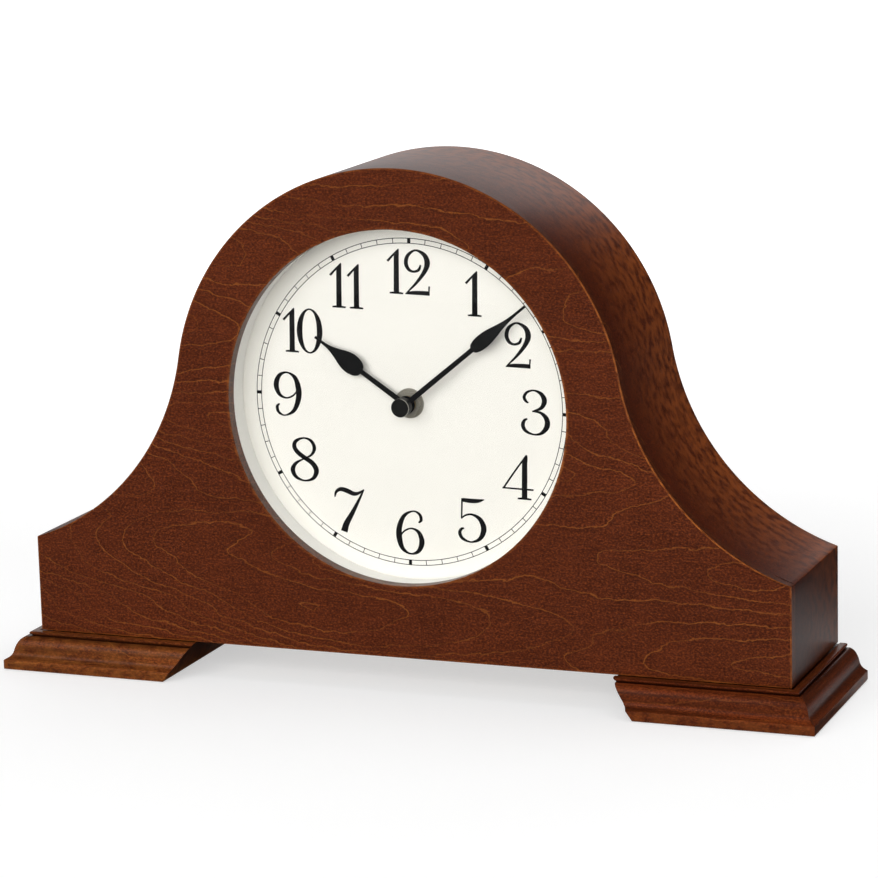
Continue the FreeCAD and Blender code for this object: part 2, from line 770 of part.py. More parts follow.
def gear(name, module, axis, phase, d0, d1):
    """Gear with slim straight-sided teeth; phase is the direction of one tooth, degrees."""
    count = teeth[name]
    pitch = 2 * math.pi / count
    radius = module * count / 2
    tip = radius + 0.85 * module
    root = radius - 1.2 * module
    steps = ((root, -0.29), (tip, -0.11), (tip, 0.11), (root, 0.29))
    points = []
    for i in range(count):
        for r, share in steps:
            turn = math.radians(phase) + pitch * (i + share)
            points.append(V(axis[0] + r * math.cos(turn), 0, axis[1] + r * math.sin(turn)))
    return lying(polygon_face(points), d0, d1)


def mating_phase(name, driver, driver_phase, bearing):
    """Tooth direction that puts this gear's gap on the driver's tooth; bearing is driver to gear."""
    driver_pitch = 360.0 / teeth[driver]
    lead = (driver_phase - bearing) % driver_pitch
    return bearing + 180.0 + 180.0 / teeth[name] - lead * teeth[driver] / teeth[name]


def minute_arbor():
    """Arbor with the cannon pinion; its front end is threaded for the cap nut."""
    thread_end = dial_depth - minute_hand_height - hand_thickness - cap_height * 0.5
    shoulder = dial_depth - minute_hand_height
    rear = layer["centre"] + wheel_thickness + 0.4
    arbor = rod(arbor_radius, 0, dial_z, shoulder, rear)
    thread = rod(minute_thread_radius, 0, dial_z, thread_end, shoulder)
    pinion = gear("minute_pinion", motion_module, hand_axis, motion_bearing,
                  layer["motion"] - 0.2, layer["motion"] + wheel_thickness + 0.2)
    bore = rod(pivot_radius + running_clearance, 0, dial_z, rear - 1.6, rear + 1)
    return fused(arbor, [thread, pinion]).cut(bore)


def hour_wheel():
    """Hour wheel on its pipe, which turns on the arbor."""
    phase = mating_phase("hour_wheel", "motion_pinion", motion_bearing + 180, motion_bearing + 180)
    wheel = gear("hour_wheel", hour_module, hand_axis, phase, layer["hour"], layer["hour"] + wheel_thickness)
    pipe = rod(hour_pipe_radius, 0, dial_z, dial_depth - hour_hand_height - hand_thickness - 0.6,
               layer["hour"])
    bore = rod(arbor_radius + running_clearance, 0, dial_z, 0, layer["hour"] + wheel_thickness + 1)
    return fused(wheel, [pipe]).cut(bore)


def motion_wheel():
    """Wheel and pinion between arbor and hour wheel, on a stud."""
    phase = mating_phase("motion_wheel", "minute_pinion", motion_bearing, motion_bearing)
    wheel = gear("motion_wheel", motion_module, motion_axis, phase, layer["motion"],
                 layer["motion"] + wheel_thickness)
    pinion = gear("motion_pinion", hour_module, motion_axis, motion_bearing + 180, layer["hour"] - 0.2,
                  layer["motion"])
    bore = rod(pivot_radius + running_clearance, motion_axis[0], motion_axis[1], layer["hour"] - 1,
               layer["motion"] + 3)
    return fused(wheel, [pinion]).cut(bore)


def setting_knob():
    """Knob outside the box; its long shaft carries a pinion that turns the motion wheel."""
    motion_phase = mating_phase("motion_wheel", "minute_pinion", motion_bearing, motion_bearing)
    phase = mating_phase("knob_pinion", "motion_wheel", motion_phase, knob_bearing)
    x, z = knob_axis
    pinion = gear("knob_pinion", motion_module, knob_axis, phase, layer["motion"] - 0.2,
                  layer["motion"] + wheel_thickness + 0.2)
    pivot = rod(pivot_radius, x, z, box_inside - 1.0, layer["motion"])
    shaft = rod(knob_shaft_radius, x, z, layer["motion"] + wheel_thickness, box_back + 1.0)
    grip = rod(knob_radius, x, z, box_back + 0.8, box_back + 0.8 + knob_thickness)
    flutes = []
    for i in range(18):
        turn = 2 * math.pi * i / 18
        flutes.append(rod(0.7, x + knob_radius * math.cos(turn), z + knob_radius * math.sin(turn),
                          box_back, box_back + knob_thickness + 2))
    return fused(pinion, [pivot, shaft, grip.cut(one(flutes))])


def wheel_and_pinion(wheel, wheel_module, wheel_layer, wheel_phase, pinion, pinion_module, pinion_layer,
                     pinion_phase, axis, start):
    """Wheel and pinion on one arbor that runs from depth start into the gear plate."""
    big = gear(wheel, wheel_module, axis, wheel_phase, wheel_layer, wheel_layer + wheel_thickness)
    small = gear(pinion, pinion_module, axis, pinion_phase, pinion_layer - 0.1,
                 pinion_layer + wheel_thickness + 0.1)
    arbor = rod(pivot_radius, axis[0], axis[1], start, gear_plate_depth + gear_plate_thickness)
    bridge = rod(pivot_radius + 0.3, axis[0], axis[1], min(wheel_layer, pinion_layer),
                 max(wheel_layer, pinion_layer) + wheel_thickness)
    return fused(big, [small, arbor, bridge])


def train_phases():
    """Tooth directions through the going train, from the rotor to the centre wheel."""
    phase = {"rotor_pinion": rotor_bearing + 180}
    phase["intermediate_wheel"] = mating_phase("intermediate_wheel", "rotor_pinion", rotor_bearing + 180,
                                               rotor_bearing + 180)
    phase["intermediate_pinion"] = intermediate_bearing + 180
    phase["seconds_wheel"] = mating_phase("seconds_wheel", "intermediate_pinion", intermediate_bearing + 180,
                                          intermediate_bearing + 180)
    phase["seconds_pinion"] = third_bearing
    phase["third_wheel"] = mating_phase("third_wheel", "seconds_pinion", third_bearing, third_bearing)
    phase["third_pinion"] = third_bearing + 180
    phase["centre_wheel"] = mating_phase("centre_wheel", "third_pinion", third_bearing + 180,
                                         third_bearing + 180)
    return phase


def centre_wheel():
    """Wheel that drives the minute arbor through a friction fit, so that the hands can be set."""
    wheel = gear("centre_wheel", centre_module, hand_axis, train_phases()["centre_wheel"], layer["centre"],
                 layer["centre"] + wheel_thickness)
    return wheel.cut(rod(arbor_radius + running_clearance, 0, dial_z, layer["centre"] - 1,
                         layer["centre"] + 3))


def third_wheel():
    """Third wheel and pinion."""
    phase = train_phases()
    return wheel_and_pinion("third_wheel", third_module, layer["third"], phase["third_wheel"],
                            "third_pinion", centre_module, layer["centre"], phase["third_pinion"],
                            third_axis, box_inside - 1)


def seconds_wheel():
    """Wheel that turns once a minute, with its pivot in the minute arbor's end."""
    phase = train_phases()
    start = layer["centre"] + wheel_thickness - 1.0
    return wheel_and_pinion("seconds_wheel", seconds_module, layer["seconds"], phase["seconds_wheel"],
                            "seconds_pinion", third_module, layer["third"], phase["seconds_pinion"],
                            hand_axis, start)


def intermediate_wheel():
    """First wheel after the rotor."""
    phase = train_phases()
    return wheel_and_pinion("intermediate_wheel", rotor_module, layer["intermediate"],
                            phase["intermediate_wheel"], "intermediate_pinion", seconds_module,
                            layer["seconds"], phase["intermediate_pinion"], intermediate_axis,
                            box_inside - 1)


rotor_radius = 3.0
stator_bore = 3.7
stator_thickness = 1.2


def rotor():
    """Magnet and pinion of the stepping motor."""
    x, z = rotor_axis
    pinion = gear("rotor_pinion", rotor_module, rotor_axis, train_phases()["rotor_pinion"],
                  layer["intermediate"] - 0.1, layer["intermediate"] + wheel_thickness + 0.1)
    magnet = rod(rotor_radius, x, z, layer["magnet"], layer["magnet"] + 2.8)
    neck = rod(pivot_radius + 0.3, x, z, layer["intermediate"], layer["magnet"])
    arbor = rod(pivot_radius, x, z, box_inside - 1, gear_plate_depth + gear_plate_thickness)
    return fused(pinion, [magnet, neck, arbor])


coil_offset = 15.0            # rotor axis to the coil's axis
coil_length = 17.0
coil_radius = 3.4
stator_front = layer["magnet"] + 0.8


def stator():
    """Soft iron loop: bored round the rotor, closed through the coil."""
    x, z = rotor_axis
    d0 = stator_front
    d1 = d0 + stator_thickness
    half = coil_length / 2 + 4.2
    core = 1.2
    body = block(x - stator_bore - 0.9, x + 9.0, d0, d1, z - 5.4, z + 5.4)
    upright = block(x + 5.4, x + 9.0, d0, d1, z - half, z + half)
    arms = [block(x + 5.4, x + coil_offset + core, d0, d1, z + low, z + low + 3.2)
            for low in (-half, half - 3.2)]
    bar = block(x + coil_offset - core, x + coil_offset + core, d0, d1, z - half, z + half)
    return fused(body, [upright, bar] + arms).cut(rod(stator_bore, x, z, d0 - 1, d1 + 1))


def coil():
    """Bobbin with its winding on the stator's upright bar."""
    x = rotor_axis[0] + coil_offset
    z = rotor_axis[1]
    y = behind(stator_front + stator_thickness / 2)
    low = z - coil_length / 2
    winding = upright_rod(coil_radius, x, y, low, low + coil_length)
    flanges = [upright_rod(coil_radius + 0.8, x, y, low + k, low + k + 0.8) for k in (0, coil_length - 0.8)]
    hole = Part.makeBox(2.7, stator_thickness + 0.3, coil_length + 2,
                        V(x - 1.35, y - stator_thickness / 2 - 0.15, low - 1))
    return fused(winding, flanges).cut(hole)


plate_left = -22.0
plate_right = 22.0
plate_high = 21.5
post_radius = 1.6
posts = ((-19.0, 14.0), (-19.5, -13.5), (19.0, -13.5), (-3.0, 18.6))


def gear_plate():
    """Plate with the rear pivot holes, on four posts."""
    plate = block(plate_left, plate_right, gear_plate_depth, gear_plate_depth + gear_plate_thickness,
                  dial_z + plate_low, dial_z + plate_high)
    pivots = [rod(pivot_radius + running_clearance, x, z, 0, 60)
              for x, z in (hand_axis, third_axis, intermediate_axis, rotor_axis)]
    pivots.append(rod(knob_shaft_radius + running_clearance, knob_axis[0], knob_axis[1], 0, 60))
    return plate.cut(one(pivots))


# ---- movement box -------------------------------------------------------------------------------
def box_corners():
    """Places of the four screws that hold the box together."""
    inset = box_wall + box_boss_radius + 0.2
    return [(side * (box_width / 2 - inset), dial_z + z) for side in (-1, 1)
            for z in (-box_below + inset, box_above - inset)]


def rounded_block(x0, x1, d0, d1, z0, z1, radius):
    """Box with rounded upright corners, seen from the front."""
    body = block(x0, x1, d0, d1, z0, z1)
    corners = [edge for edge in body.Edges
               if edge.BoundBox.YLength > (d1 - d0) / 2 and edge.BoundBox.XLength < 0.01]
    return body.makeFillet(radius, corners)


def box_shell(d0, d1, wall_at_front):
    """Half of the movement box: a rounded tray with its floor at the front or at the back."""
    half = box_width / 2
    outer = rounded_block(-half, half, d0, d1, dial_z - box_below, dial_z + box_above, 4.0)
    inner_d0 = d0 + box_wall if wall_at_front else d0 - 1
    inner_d1 = d1 + 1 if wall_at_front else d1 - box_wall
    inner = rounded_block(-half + box_wall, half - box_wall, inner_d0, inner_d1,
                          dial_z - box_below + box_wall, dial_z + box_above - box_wall, 4.0 - box_wall)
    return outer.cut(inner)


def box_front_half():
    """Front tray with bosses, posts, the motion stud and pivot holes."""
    parting = box_front + box_parting
    tray = box_shell(box_front, parting, True)
    bosses = [rod(box_boss_radius, x, z, box_inside - 0.5, parting) for x, z in box_corners()]
    bosses += [rod(post_radius, x, dial_z + z, box_inside - 0.5, gear_plate_depth) for x, z in posts]
    bosses.append(rod(pivot_radius, motion_axis[0], motion_axis[1], box_inside - 0.5,
                      layer["motion"] + wheel_thickness + 0.3))
    holes = [rod(bushing_radius, 0, dial_z, box_front - 1, box_inside + 0.01)]
    holes += [rod(pivot_radius + running_clearance, x, z, box_inside - 1.1, box_inside + 0.01)
              for x, z in (knob_axis, third_axis, intermediate_axis, rotor_axis)]
    holes += [box_screw(x, z, running_clearance) for x, z in box_corners()]
    return fused(tray, bosses).cut(one(holes))


def box_screw(x, z, grow):
    """Long thin screw from the back into the front half."""
    shank = rod(box_screw_radius + grow, x, z, box_front + 6.0 - grow, box_back)
    return fused(shank, [rod(box_screw_radius * 1.9, x, z, box_back, box_back + 1.0)])


def trough(grow):
    """Space of the battery and its contacts, or the walls around it when grown."""
    half = battery_length / 2 + contact_space
    radius = battery_radius + trough_play
    d1 = box_back
    d0 = d1 - trough_depth
    return block(-half - grow, half + grow, d0 - grow, d1 + (0 if grow else 1),
                 battery_z - radius - grow, battery_z + radius + grow)


def slider_places():
    """X of the volume slider and of the chime selector, at rest."""
    return {"volume_slider": 6.0, "chime_selector": 22.0}


slider_stem = 2.4


def box_rear_half():
    """Rear tray with the battery trough, sound holes and slots for the knob and sliders."""
    parting = box_front + box_parting
    tray = box_shell(parting, box_back, False)
    bosses = [rod(box_boss_radius, x, z, parting, box_back - 0.5) for x, z in box_corners()]
    bosses.append(trough(trough_wall))
    holes = [trough(0)]
    holes += [box_screw(x, z, running_clearance) for x, z in box_corners()]
    holes.append(rod(knob_shaft_radius + 0.1, knob_axis[0], knob_axis[1], box_back - 4, box_back + 1))
    for x in slider_places().values():
        play = seat_clearance
        z = dial_z + slider_height
        holes.append(block(x - slider_stem / 2 - play, x + slider_travel + slider_stem / 2 + play,
                           box_back - 3, box_back + 1,
                           z - slider_stem / 2 - play, z + slider_stem / 2 + play))
    holes += sound_holes()
    return fused(tray, bosses).cut(one(holes))


def sound_holes():
    """Rings of small holes behind the speaker."""
    holes = [rod(1.2, 0, dial_z + speaker_above, box_back - 3, box_back + 1)]
    for ring in range(1, 4):
        for i in range(6 * ring):
            turn = 2 * math.pi * i / (6 * ring)
            reach = 4.6 * ring
            holes.append(rod(1.2, reach * math.cos(turn), dial_z + speaker_above + reach * math.sin(turn),
                             box_back - 3, box_back + 1))
    return holes


def slider(x):
    """Thumb slide: a flange inside the box, a stem through the slot and a ridged thumb piece."""
    z = dial_z + slider_height
    wall_inner = box_back - box_wall
    flange = block(x - 3.4, x + 3.4, wall_inner - 1.4, wall_inner - 0.3, z - 3.2, z + 3.2)
    stem = block(x - slider_stem / 2, x + slider_stem / 2, wall_inner - 0.5, box_back + 0.5,
                 z - slider_stem / 2, z + slider_stem / 2)
    thumb = block(x - 2.6, x + 2.6, box_back + 0.3, box_back + 2.4, z - 3.4, z + 3.4)
    ridges = [block(x - 0.3 + k, x + 0.3 + k, box_back + 1.8, box_back + 3, z - 4, z + 4)
              for k in (-1.5, 0, 1.5)]
    return fused(flange, [stem, thumb]).cut(one(ridges))


def circuit_board():
    """Board with the clock and chime circuit."""
    half = box_width / 2 - box_wall - 1.0
    board = block(-half, half, board_depth, board_depth + circuit_thickness, dial_z - 17.0, dial_z + 26.0)
    hole = rod(knob_shaft_radius + 0.6, knob_axis[0], knob_axis[1], board_depth - 1, board_depth + 3)
    return board.cut(hole)


def crystal():
    """Quartz crystal can on the board."""
    d0 = board_depth + circuit_thickness
    return Part.makeCylinder(1.0, 6.0, V(-30, behind(d0 + 1.0), dial_z + 18), V(1, 0, 0))


def chime_chip():
    """Moulded chip that holds the chime melodies."""
    d0 = board_depth + circuit_thickness
    return block(-8, 4, d0, d0 + 1.6, dial_z - 12, dial_z - 4)


def battery():
    """C cell with its raised positive end."""
    y = behind(battery_depth)
    cell = Part.makeCylinder(battery_radius, battery_length - 1.5, V(-battery_length / 2, y, battery_z),
                             V(1, 0, 0))
    ends = [edge for edge in cell.Edges if edge.BoundBox.XLength < 0.01]
    cell = cell.makeFillet(0.8, ends)
    nub = Part.makeCylinder(3.4, 1.6, V(battery_length / 2 - 1.6, y, battery_z), V(1, 0, 0))
    return fused(cell, [nub])


def contact_spring():
    """Bent leaf that presses on the battery's flat end."""
    start = -battery_length / 2 - contact_space
    d = battery_depth
    plate = block(start, start + 0.4, d - 8, d + 8, battery_z - 9, battery_z + 9)
    points = [V(start + 0.4, behind(d - 7), 0), V(start + 3.55, behind(d - 1.5), 0),
              V(start + 3.55, behind(d + 1.5), 0), V(start + 0.4, behind(d + 7), 0),
              V(start + 0.4, behind(d + 6), 0), V(start + 3.05, behind(d + 1.1), 0),
              V(start + 3.05, behind(d - 1.1), 0), V(start + 0.4, behind(d - 6), 0)]
    leaf = polygon_face(points)
    leaf.translate(V(0, 0, battery_z - 4))
    return fused(plate, [leaf.extrude(V(0, 0, 8))])


def contact_plate():
    """Plate with a round dimple that meets the battery's raised end."""
    end = battery_length / 2 + contact_space
    d = battery_depth
    plate = block(end - 0.4, end, d - 8, d + 8, battery_z - 9, battery_z + 9)
    boss = Part.makeCylinder(2.6, contact_space - 0.4, V(battery_length / 2, behind(d), battery_z),
                             V(1, 0, 0))
    return fused(plate, [boss])


def turned_at(z, points):
    """Solid turned about a line along Y at height z, from (radius, depth) points."""
    face = polygon_face([V(r, behind(d), z) for r, d in points])
    return face.revolve(V(0, 0, z), V(0, 1, 0), 360)


def speaker_frame():
    """Basket with an open cone-shaped wall."""
    face = box_back - box_wall
    r = speaker_radius
    points = [(r, face), (r, face - 1.2), (r - 3.0, face - 1.2), (10.4, face - 9.0), (6.2, face - 9.0),
              (6.2, face - 8.2), (10.0, face - 8.2), (r - 3.6, face - 0.6), (r - 3.6, face)]
    return turned_at(dial_z + speaker_above, points)


def speaker_cone():
    """Paper cone with its dust cap."""
    face = box_back - box_wall
    r = speaker_radius - 4.0
    points = [(r, face - 0.5), (r, face - 0.9), (5.0, face - 6.4), (0, face - 6.4), (0, face - 5.6),
              (5.0, face - 5.9)]
    return turned_at(dial_z + speaker_above, points)


def speaker_magnet():
    """Round magnet behind the basket."""
    face = box_back - box_wall
    return rod(9.0, 0, dial_z + speaker_above, face - 15.0, face - 9.0)


NODES = {
    "front_panel": front_panel,
    "hood_wrap": hood_wrap,
    "end_board_right": end_board,
    "end_board_left": lambda: mirrored(end_board()),
    "bottom_board": bottom_board,
    "rear_former": former,
    "back_panel": back_panel,
    "back_panel_screws": back_screws,
    "foot_right": foot,
    "foot_left": lambda: mirrored(foot()),
    "foot_screws": foot_screws,
    "felt_pads": lambda: pads(0),
    "back_door": door,
    "door_pull": door_pull,
    "hinge_leaves_case": lambda: one(hinge_leaf(z, -1) for z in hinge_centres()),
    "hinge_leaves_door": lambda: one(hinge_leaf(z, 1) for z in hinge_centres()),
    "hinge_pins": hinge_pins,
    "hinge_screws_case": lambda: one(hinge_screw(x, z, 0) for x, z in hinge_screw_places(-1)),
    "hinge_screws_door": lambda: one(hinge_screw(x, z, 0) for x, z in hinge_screw_places(1)),
    "catch_magnet": catch_magnet,
    "catch_plate": catch_plate,
    "glass_lens": glass,
    "dial_mounting_ring": dial_ring,
    "dial_spacer_ring": spacer_ring,
    "dial_plate": dial_plate,
    "dial_backboard": dial_board,
    "dial_screws": lambda: one(dial_screw(x, z, 0) for x, z in dial_screw_places()),
    "hour_hand": hour_hand,
    "minute_hand": minute_hand,
    "hand_cap_nut": cap_nut,
    "threaded_bushing": bushing,
    "dial_washer": dial_washer,
    "mounting_nut": mounting_nut,
    "rubber_washer": grommet,
    "minute_arbor": minute_arbor,
    "hour_wheel": hour_wheel,
    "motion_wheel": motion_wheel,
    "setting_knob": setting_knob,
    "centre_wheel": centre_wheel,
    "third_wheel": third_wheel,
    "seconds_wheel": seconds_wheel,
    "intermediate_wheel": intermediate_wheel,
    "motor_rotor": rotor,
    "motor_stator": stator,
    "motor_coil": coil,
    "gear_plate": gear_plate,
    "movement_front_case": box_front_half,
    "movement_rear_case": box_rear_half,
    "movement_case_screws": lambda: one(box_screw(x, z, 0) for x, z in box_corners()),
    "circuit_board": circuit_board,
    "quartz_crystal": crystal,
    "chime_chip": chime_chip,
    "battery": battery,
    "battery_spring": contact_spring,
    "battery_contact": contact_plate,
    "volume_slider": lambda: slider(slider_places()["volume_slider"]),
    "chime_selector": lambda: slider(slider_places()["chime_selector"]),
    "speaker_frame": speaker_frame,
    "speaker_cone": speaker_cone,
    "speaker_magnet": speaker_magnet,
}


def main():
    """Write each node to parts/."""
    os.makedirs("parts", exist_ok=True)
    for name, make in NODES.items():
        shape = make()
        if not shape.isValid() or not shape.Solids:
            raise ValueError("bad solid: " + name)
        shape.exportStep("parts/" + name + ".step")


main()
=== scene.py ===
"""Looks of a tambour mantel clock: veneered case, moulded feet, domed glass, printed dial and hands.

It is laid out as an add-on and run as a script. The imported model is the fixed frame; new pieces are
surfaces worked out as arrays, in metres, in the frame's own axes: +Z up and -Y the dial side.
"""
import math

import bmesh
import bpy
import numpy as np
from bpy.props import FloatProperty, FloatVectorProperty, PointerProperty
from mathutils import Matrix, Vector


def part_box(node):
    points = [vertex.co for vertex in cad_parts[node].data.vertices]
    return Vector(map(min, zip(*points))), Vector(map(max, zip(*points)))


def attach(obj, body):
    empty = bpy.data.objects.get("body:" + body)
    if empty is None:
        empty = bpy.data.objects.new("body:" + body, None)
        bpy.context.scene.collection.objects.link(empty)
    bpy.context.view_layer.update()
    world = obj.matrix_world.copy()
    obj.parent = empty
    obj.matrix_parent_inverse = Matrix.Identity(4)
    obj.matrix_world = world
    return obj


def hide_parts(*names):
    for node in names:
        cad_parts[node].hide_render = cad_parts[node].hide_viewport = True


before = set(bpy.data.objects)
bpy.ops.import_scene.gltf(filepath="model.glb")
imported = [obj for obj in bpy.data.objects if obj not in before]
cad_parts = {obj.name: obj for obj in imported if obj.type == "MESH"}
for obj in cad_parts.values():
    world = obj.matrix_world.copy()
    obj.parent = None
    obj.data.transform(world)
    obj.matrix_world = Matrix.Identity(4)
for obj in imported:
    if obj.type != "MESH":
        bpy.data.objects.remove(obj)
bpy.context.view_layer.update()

bl_info = {
    "name": "Mantel Clock Finisher",
    "version": (1, 0, 0),
    "blender": (4, 5, 0),
    "location": "3D View > Sidebar > Clock",
    "description": "Builds the visible surfaces and finishes of a tambour mantel clock",
    "category": "Object",
}

MM = 0.001


def node_box(name):
    """Lowest and highest corner of a CAD node, as two arrays."""
    low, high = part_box(name)
    return np.array(low, float), np.array(high, float)


FRONT_LOW, FRONT_HIGH = node_box("front_panel")
FRONT_Y = float(FRONT_LOW[1])
BACK_Y = float(node_box("hood_wrap")[1][1])
HALF_WIDTH = float(FRONT_HIGH[0])
CASE_LOW = float(FRONT_LOW[2])
CASE_TOP = float(FRONT_HIGH[2])
SHOULDER_Z = float(node_box("end_board_right")[1][2])
OPENING_Z = float(sum(corner[2] for corner in node_box("glass_lens"))) / 2
HUB_Z = float(sum(corner[2] for corner in node_box("hand_cap_nut"))) / 2
DIAL_Y = float(node_box("dial_plate")[0][1])


# ---- what a user would change --------------------------------------------------------------------
class ClockCase(bpy.types.PropertyGroup):
    """Sizes of the case and its feet."""
    hood_radius: FloatProperty(name="Hood radius", description="Radius of the round top",
                               default=109.1 * MM, unit="LENGTH")
    flank_radius: FloatProperty(name="Flank radius", description="Radius of the hollow curves",
                                default=115.8 * MM, unit="LENGTH")
    wrap_thickness: FloatProperty(name="Wrap", description="Thickness of the bent veneer",
                                  default=4.0 * MM, unit="LENGTH")
    end_thickness: FloatProperty(name="End board", description="Thickness of the end boards",
                                 default=6.0 * MM, unit="LENGTH")
    opening_radius: FloatProperty(name="Opening", description="Radius of the dial opening",
                                  default=82.6 * MM, unit="LENGTH")
    easing: FloatProperty(name="Easing", description="Radius sanded on the outer edges",
                          default=0.45 * MM, unit="LENGTH")
    # Width of the pale edge band: rubbed finish and a painted highlight.
    wear_width: FloatProperty(name="Wear", description="Width of the paler rubbed band at an edge",
                              default=0.5 * MM, unit="LENGTH")
    foot_projection: FloatProperty(name="Foot projection", description="How far the feet stand out",
                                   default=14.0 * MM, unit="LENGTH")
    bead_projection: FloatProperty(name="Bead", description="How far the top bead stands out",
                                   default=4.4 * MM, unit="LENGTH")
    bead_height: FloatProperty(name="Bead height", description="Height of the top bead",
                               default=1.6 * MM, unit="LENGTH")
    quirk_width: FloatProperty(name="Quirk", description="Flat between bead and swell",
                               default=0.6 * MM, unit="LENGTH")
    quirk_depth: FloatProperty(name="Quirk depth", description="Depth of the groove under the bead",
                               default=0.9 * MM, unit="LENGTH")
    swell_width: FloatProperty(name="Swell", description="Width of the moulding's convex part",
                               default=5.2 * MM, unit="LENGTH")
    swell_height: FloatProperty(name="Swell height", description="Height of the convex part",
                                default=6.9 * MM, unit="LENGTH")
    swell_shoulder: FloatProperty(name="Shoulder", description="Control point of the swell, outwards",
                                  default=3.8 * MM, unit="LENGTH")
    swell_dip: FloatProperty(name="Dip", description="Control point of the swell, downwards",
                             default=1.0 * MM, unit="LENGTH")
    hollow_pull: FloatProperty(name="Hollow", default=0.46,
                               description="Pull of the hollow, as a share of the swell's end")
    band_height: FloatProperty(name="Band", description="Upright edge at the foot's bottom",
                               default=4.5 * MM, unit="LENGTH")
    foot_inner_top: FloatProperty(name="Foot top end", description="Clock's middle to the foot, above",
                                  default=104.0 * MM, unit="LENGTH")
    foot_inner_bottom: FloatProperty(name="Foot bottom end", description="Clock's middle to the foot, below",
                                     default=116.3 * MM, unit="LENGTH")


class ClockDial(bpy.types.PropertyGroup):
    """Sizes of the glass, the dial and its print."""
    glass_radius: FloatProperty(name="Glass radius", description="Radius of the glass",
                                default=87.0 * MM, unit="LENGTH")
    glass_thickness: FloatProperty(name="Glass", description="Thickness of the glass",
                                   default=2.0 * MM, unit="LENGTH")
    glass_rise: FloatProperty(name="Dome", description="Rise of the dome over its rim",
                              default=5.0 * MM, unit="LENGTH")
    spacer_bore: FloatProperty(name="Spacer bore", description="Inner radius of the white ring",
                               default=83.6 * MM, unit="LENGTH")
    track_radius: FloatProperty(name="Minute track", description="Middle radius of the minute track",
                                default=75.4 * MM, unit="LENGTH")
    track_width: FloatProperty(name="Track width", description="Between the track's two circles",
                               default=2.3 * MM, unit="LENGTH")
    line_width: FloatProperty(name="Line", description="Width of a printed hair line",
                              default=0.34 * MM, unit="LENGTH")
    numeral_radius: FloatProperty(name="Numeral circle", description="Circle of the numerals' middles",
                                  default=61.05 * MM, unit="LENGTH")
    numeral_height: FloatProperty(name="Numeral height", description="Height of a numeral",
                                  default=21.2 * MM, unit="LENGTH")
    numeral_stretch: FloatProperty(name="Numeral stretch", default=1.08,
                                   description="Width of each digit over its drawn width")
    dial_turn: FloatProperty(name="Dial turn", description="How far the dial sits clockwise of upright",
                             default=math.radians(1.35), subtype="ANGLE")
    ink_thickness: FloatProperty(name="Ink", description="Thickness of the printed ink",
                                 default=0.03 * MM, unit="LENGTH")


class ClockHands(bpy.types.PropertyGroup):
    """Sizes of the two hands and their cap."""
    hour_length: FloatProperty(name="Hour hand", description="Length of the hour hand",
                               default=53.4 * MM, unit="LENGTH")
    minute_length: FloatProperty(name="Minute hand", description="Length of the minute hand",
                                 default=77.3 * MM, unit="LENGTH")
    arm_width: FloatProperty(name="Arm", description="Width of a hand's straight arm",
                             default=2.6 * MM, unit="LENGTH")
    tip_width: FloatProperty(name="Tip", description="Width of a hand's tip",
                             default=1.2 * MM, unit="LENGTH")
    hour_leaf: FloatProperty(name="Hour leaf", description="Widest part of the hour hand",
                             default=9.5 * MM, unit="LENGTH")
    hour_leaf_start: FloatProperty(name="Hour leaf start", description="Axis to the start of the leaf",
                                   default=26.0 * MM, unit="LENGTH")
    hour_leaf_widest: FloatProperty(name="Hour leaf middle", description="Axis to the leaf's widest part",
                                    default=32.5 * MM, unit="LENGTH")
    minute_leaf: FloatProperty(name="Minute leaf", description="Widest part of the minute hand",
                               default=6.6 * MM, unit="LENGTH")
    minute_leaf_start: FloatProperty(name="Minute leaf start", description="Axis to the start of the leaf",
                                     default=44.0 * MM, unit="LENGTH")
    minute_leaf_widest: FloatProperty(name="Minute leaf middle", description="Axis to its widest part",
                                      default=50.5 * MM, unit="LENGTH")
    boss_radius: FloatProperty(name="Boss", description="Radius of the round boss",
                               default=4.25 * MM, unit="LENGTH")
    hour_turn: FloatProperty(name="Hour angle", description="Hour hand, clockwise from 12",
                             default=math.radians(304.05), subtype="ANGLE")
    minute_turn: FloatProperty(name="Minute angle", description="Minute hand, clockwise from 12",
                               default=math.radians(51.0), subtype="ANGLE")


class ClockColours(bpy.types.PropertyGroup):
    """Colours of the finishes, linear."""
    stain: FloatVectorProperty(name="Stain", description="Body colour of the stained veneer",
                               default=(0.083, 0.0152, 0.0035), subtype="COLOR", size=3)
    stain_dark: FloatVectorProperty(name="Dark stain", description="Stain where it has soaked in",
                                    default=(0.041, 0.0070, 0.0020), subtype="COLOR", size=3)
    # The pale stain is also the colour of the painted edge highlights.
    stain_light: FloatVectorProperty(name="Pale stain", description="Growth lines and rubbed edges",
                                     default=(0.24, 0.070, 0.0125), subtype="COLOR", size=3)
    enamel: FloatVectorProperty(name="Dial enamel", description="Cream white of the dial",
                                default=(0.93, 0.905, 0.845), subtype="COLOR", size=3)
    ink: FloatVectorProperty(name="Ink", description="Printed numerals",
                             default=(0.007, 0.007, 0.0075), subtype="COLOR", size=3)


class ClockStage(bpy.types.PropertyGroup):
    """Camera."""
    azimuth: FloatProperty(name="Azimuth", description="Camera's turn from the front",
                           default=math.radians(21.403), subtype="ANGLE")
    elevation: FloatProperty(name="Elevation", description="Camera's height angle",
                             default=math.radians(11.899), subtype="ANGLE")
    roll: FloatProperty(name="Roll", description="Camera's roll", default=math.radians(-1.514),
                        subtype="ANGLE")
    distance: FloatProperty(name="Distance", description="Camera to its target", default=1.56028,
                            unit="LENGTH")
    target: FloatVectorProperty(name="Target", description="Point in the middle of the picture",
                                default=(0.02155, -0.03325, 0.12164), subtype="XYZ", size=3)
    lens: FloatProperty(name="Lens", description="Focal length in millimetres", default=141.238)


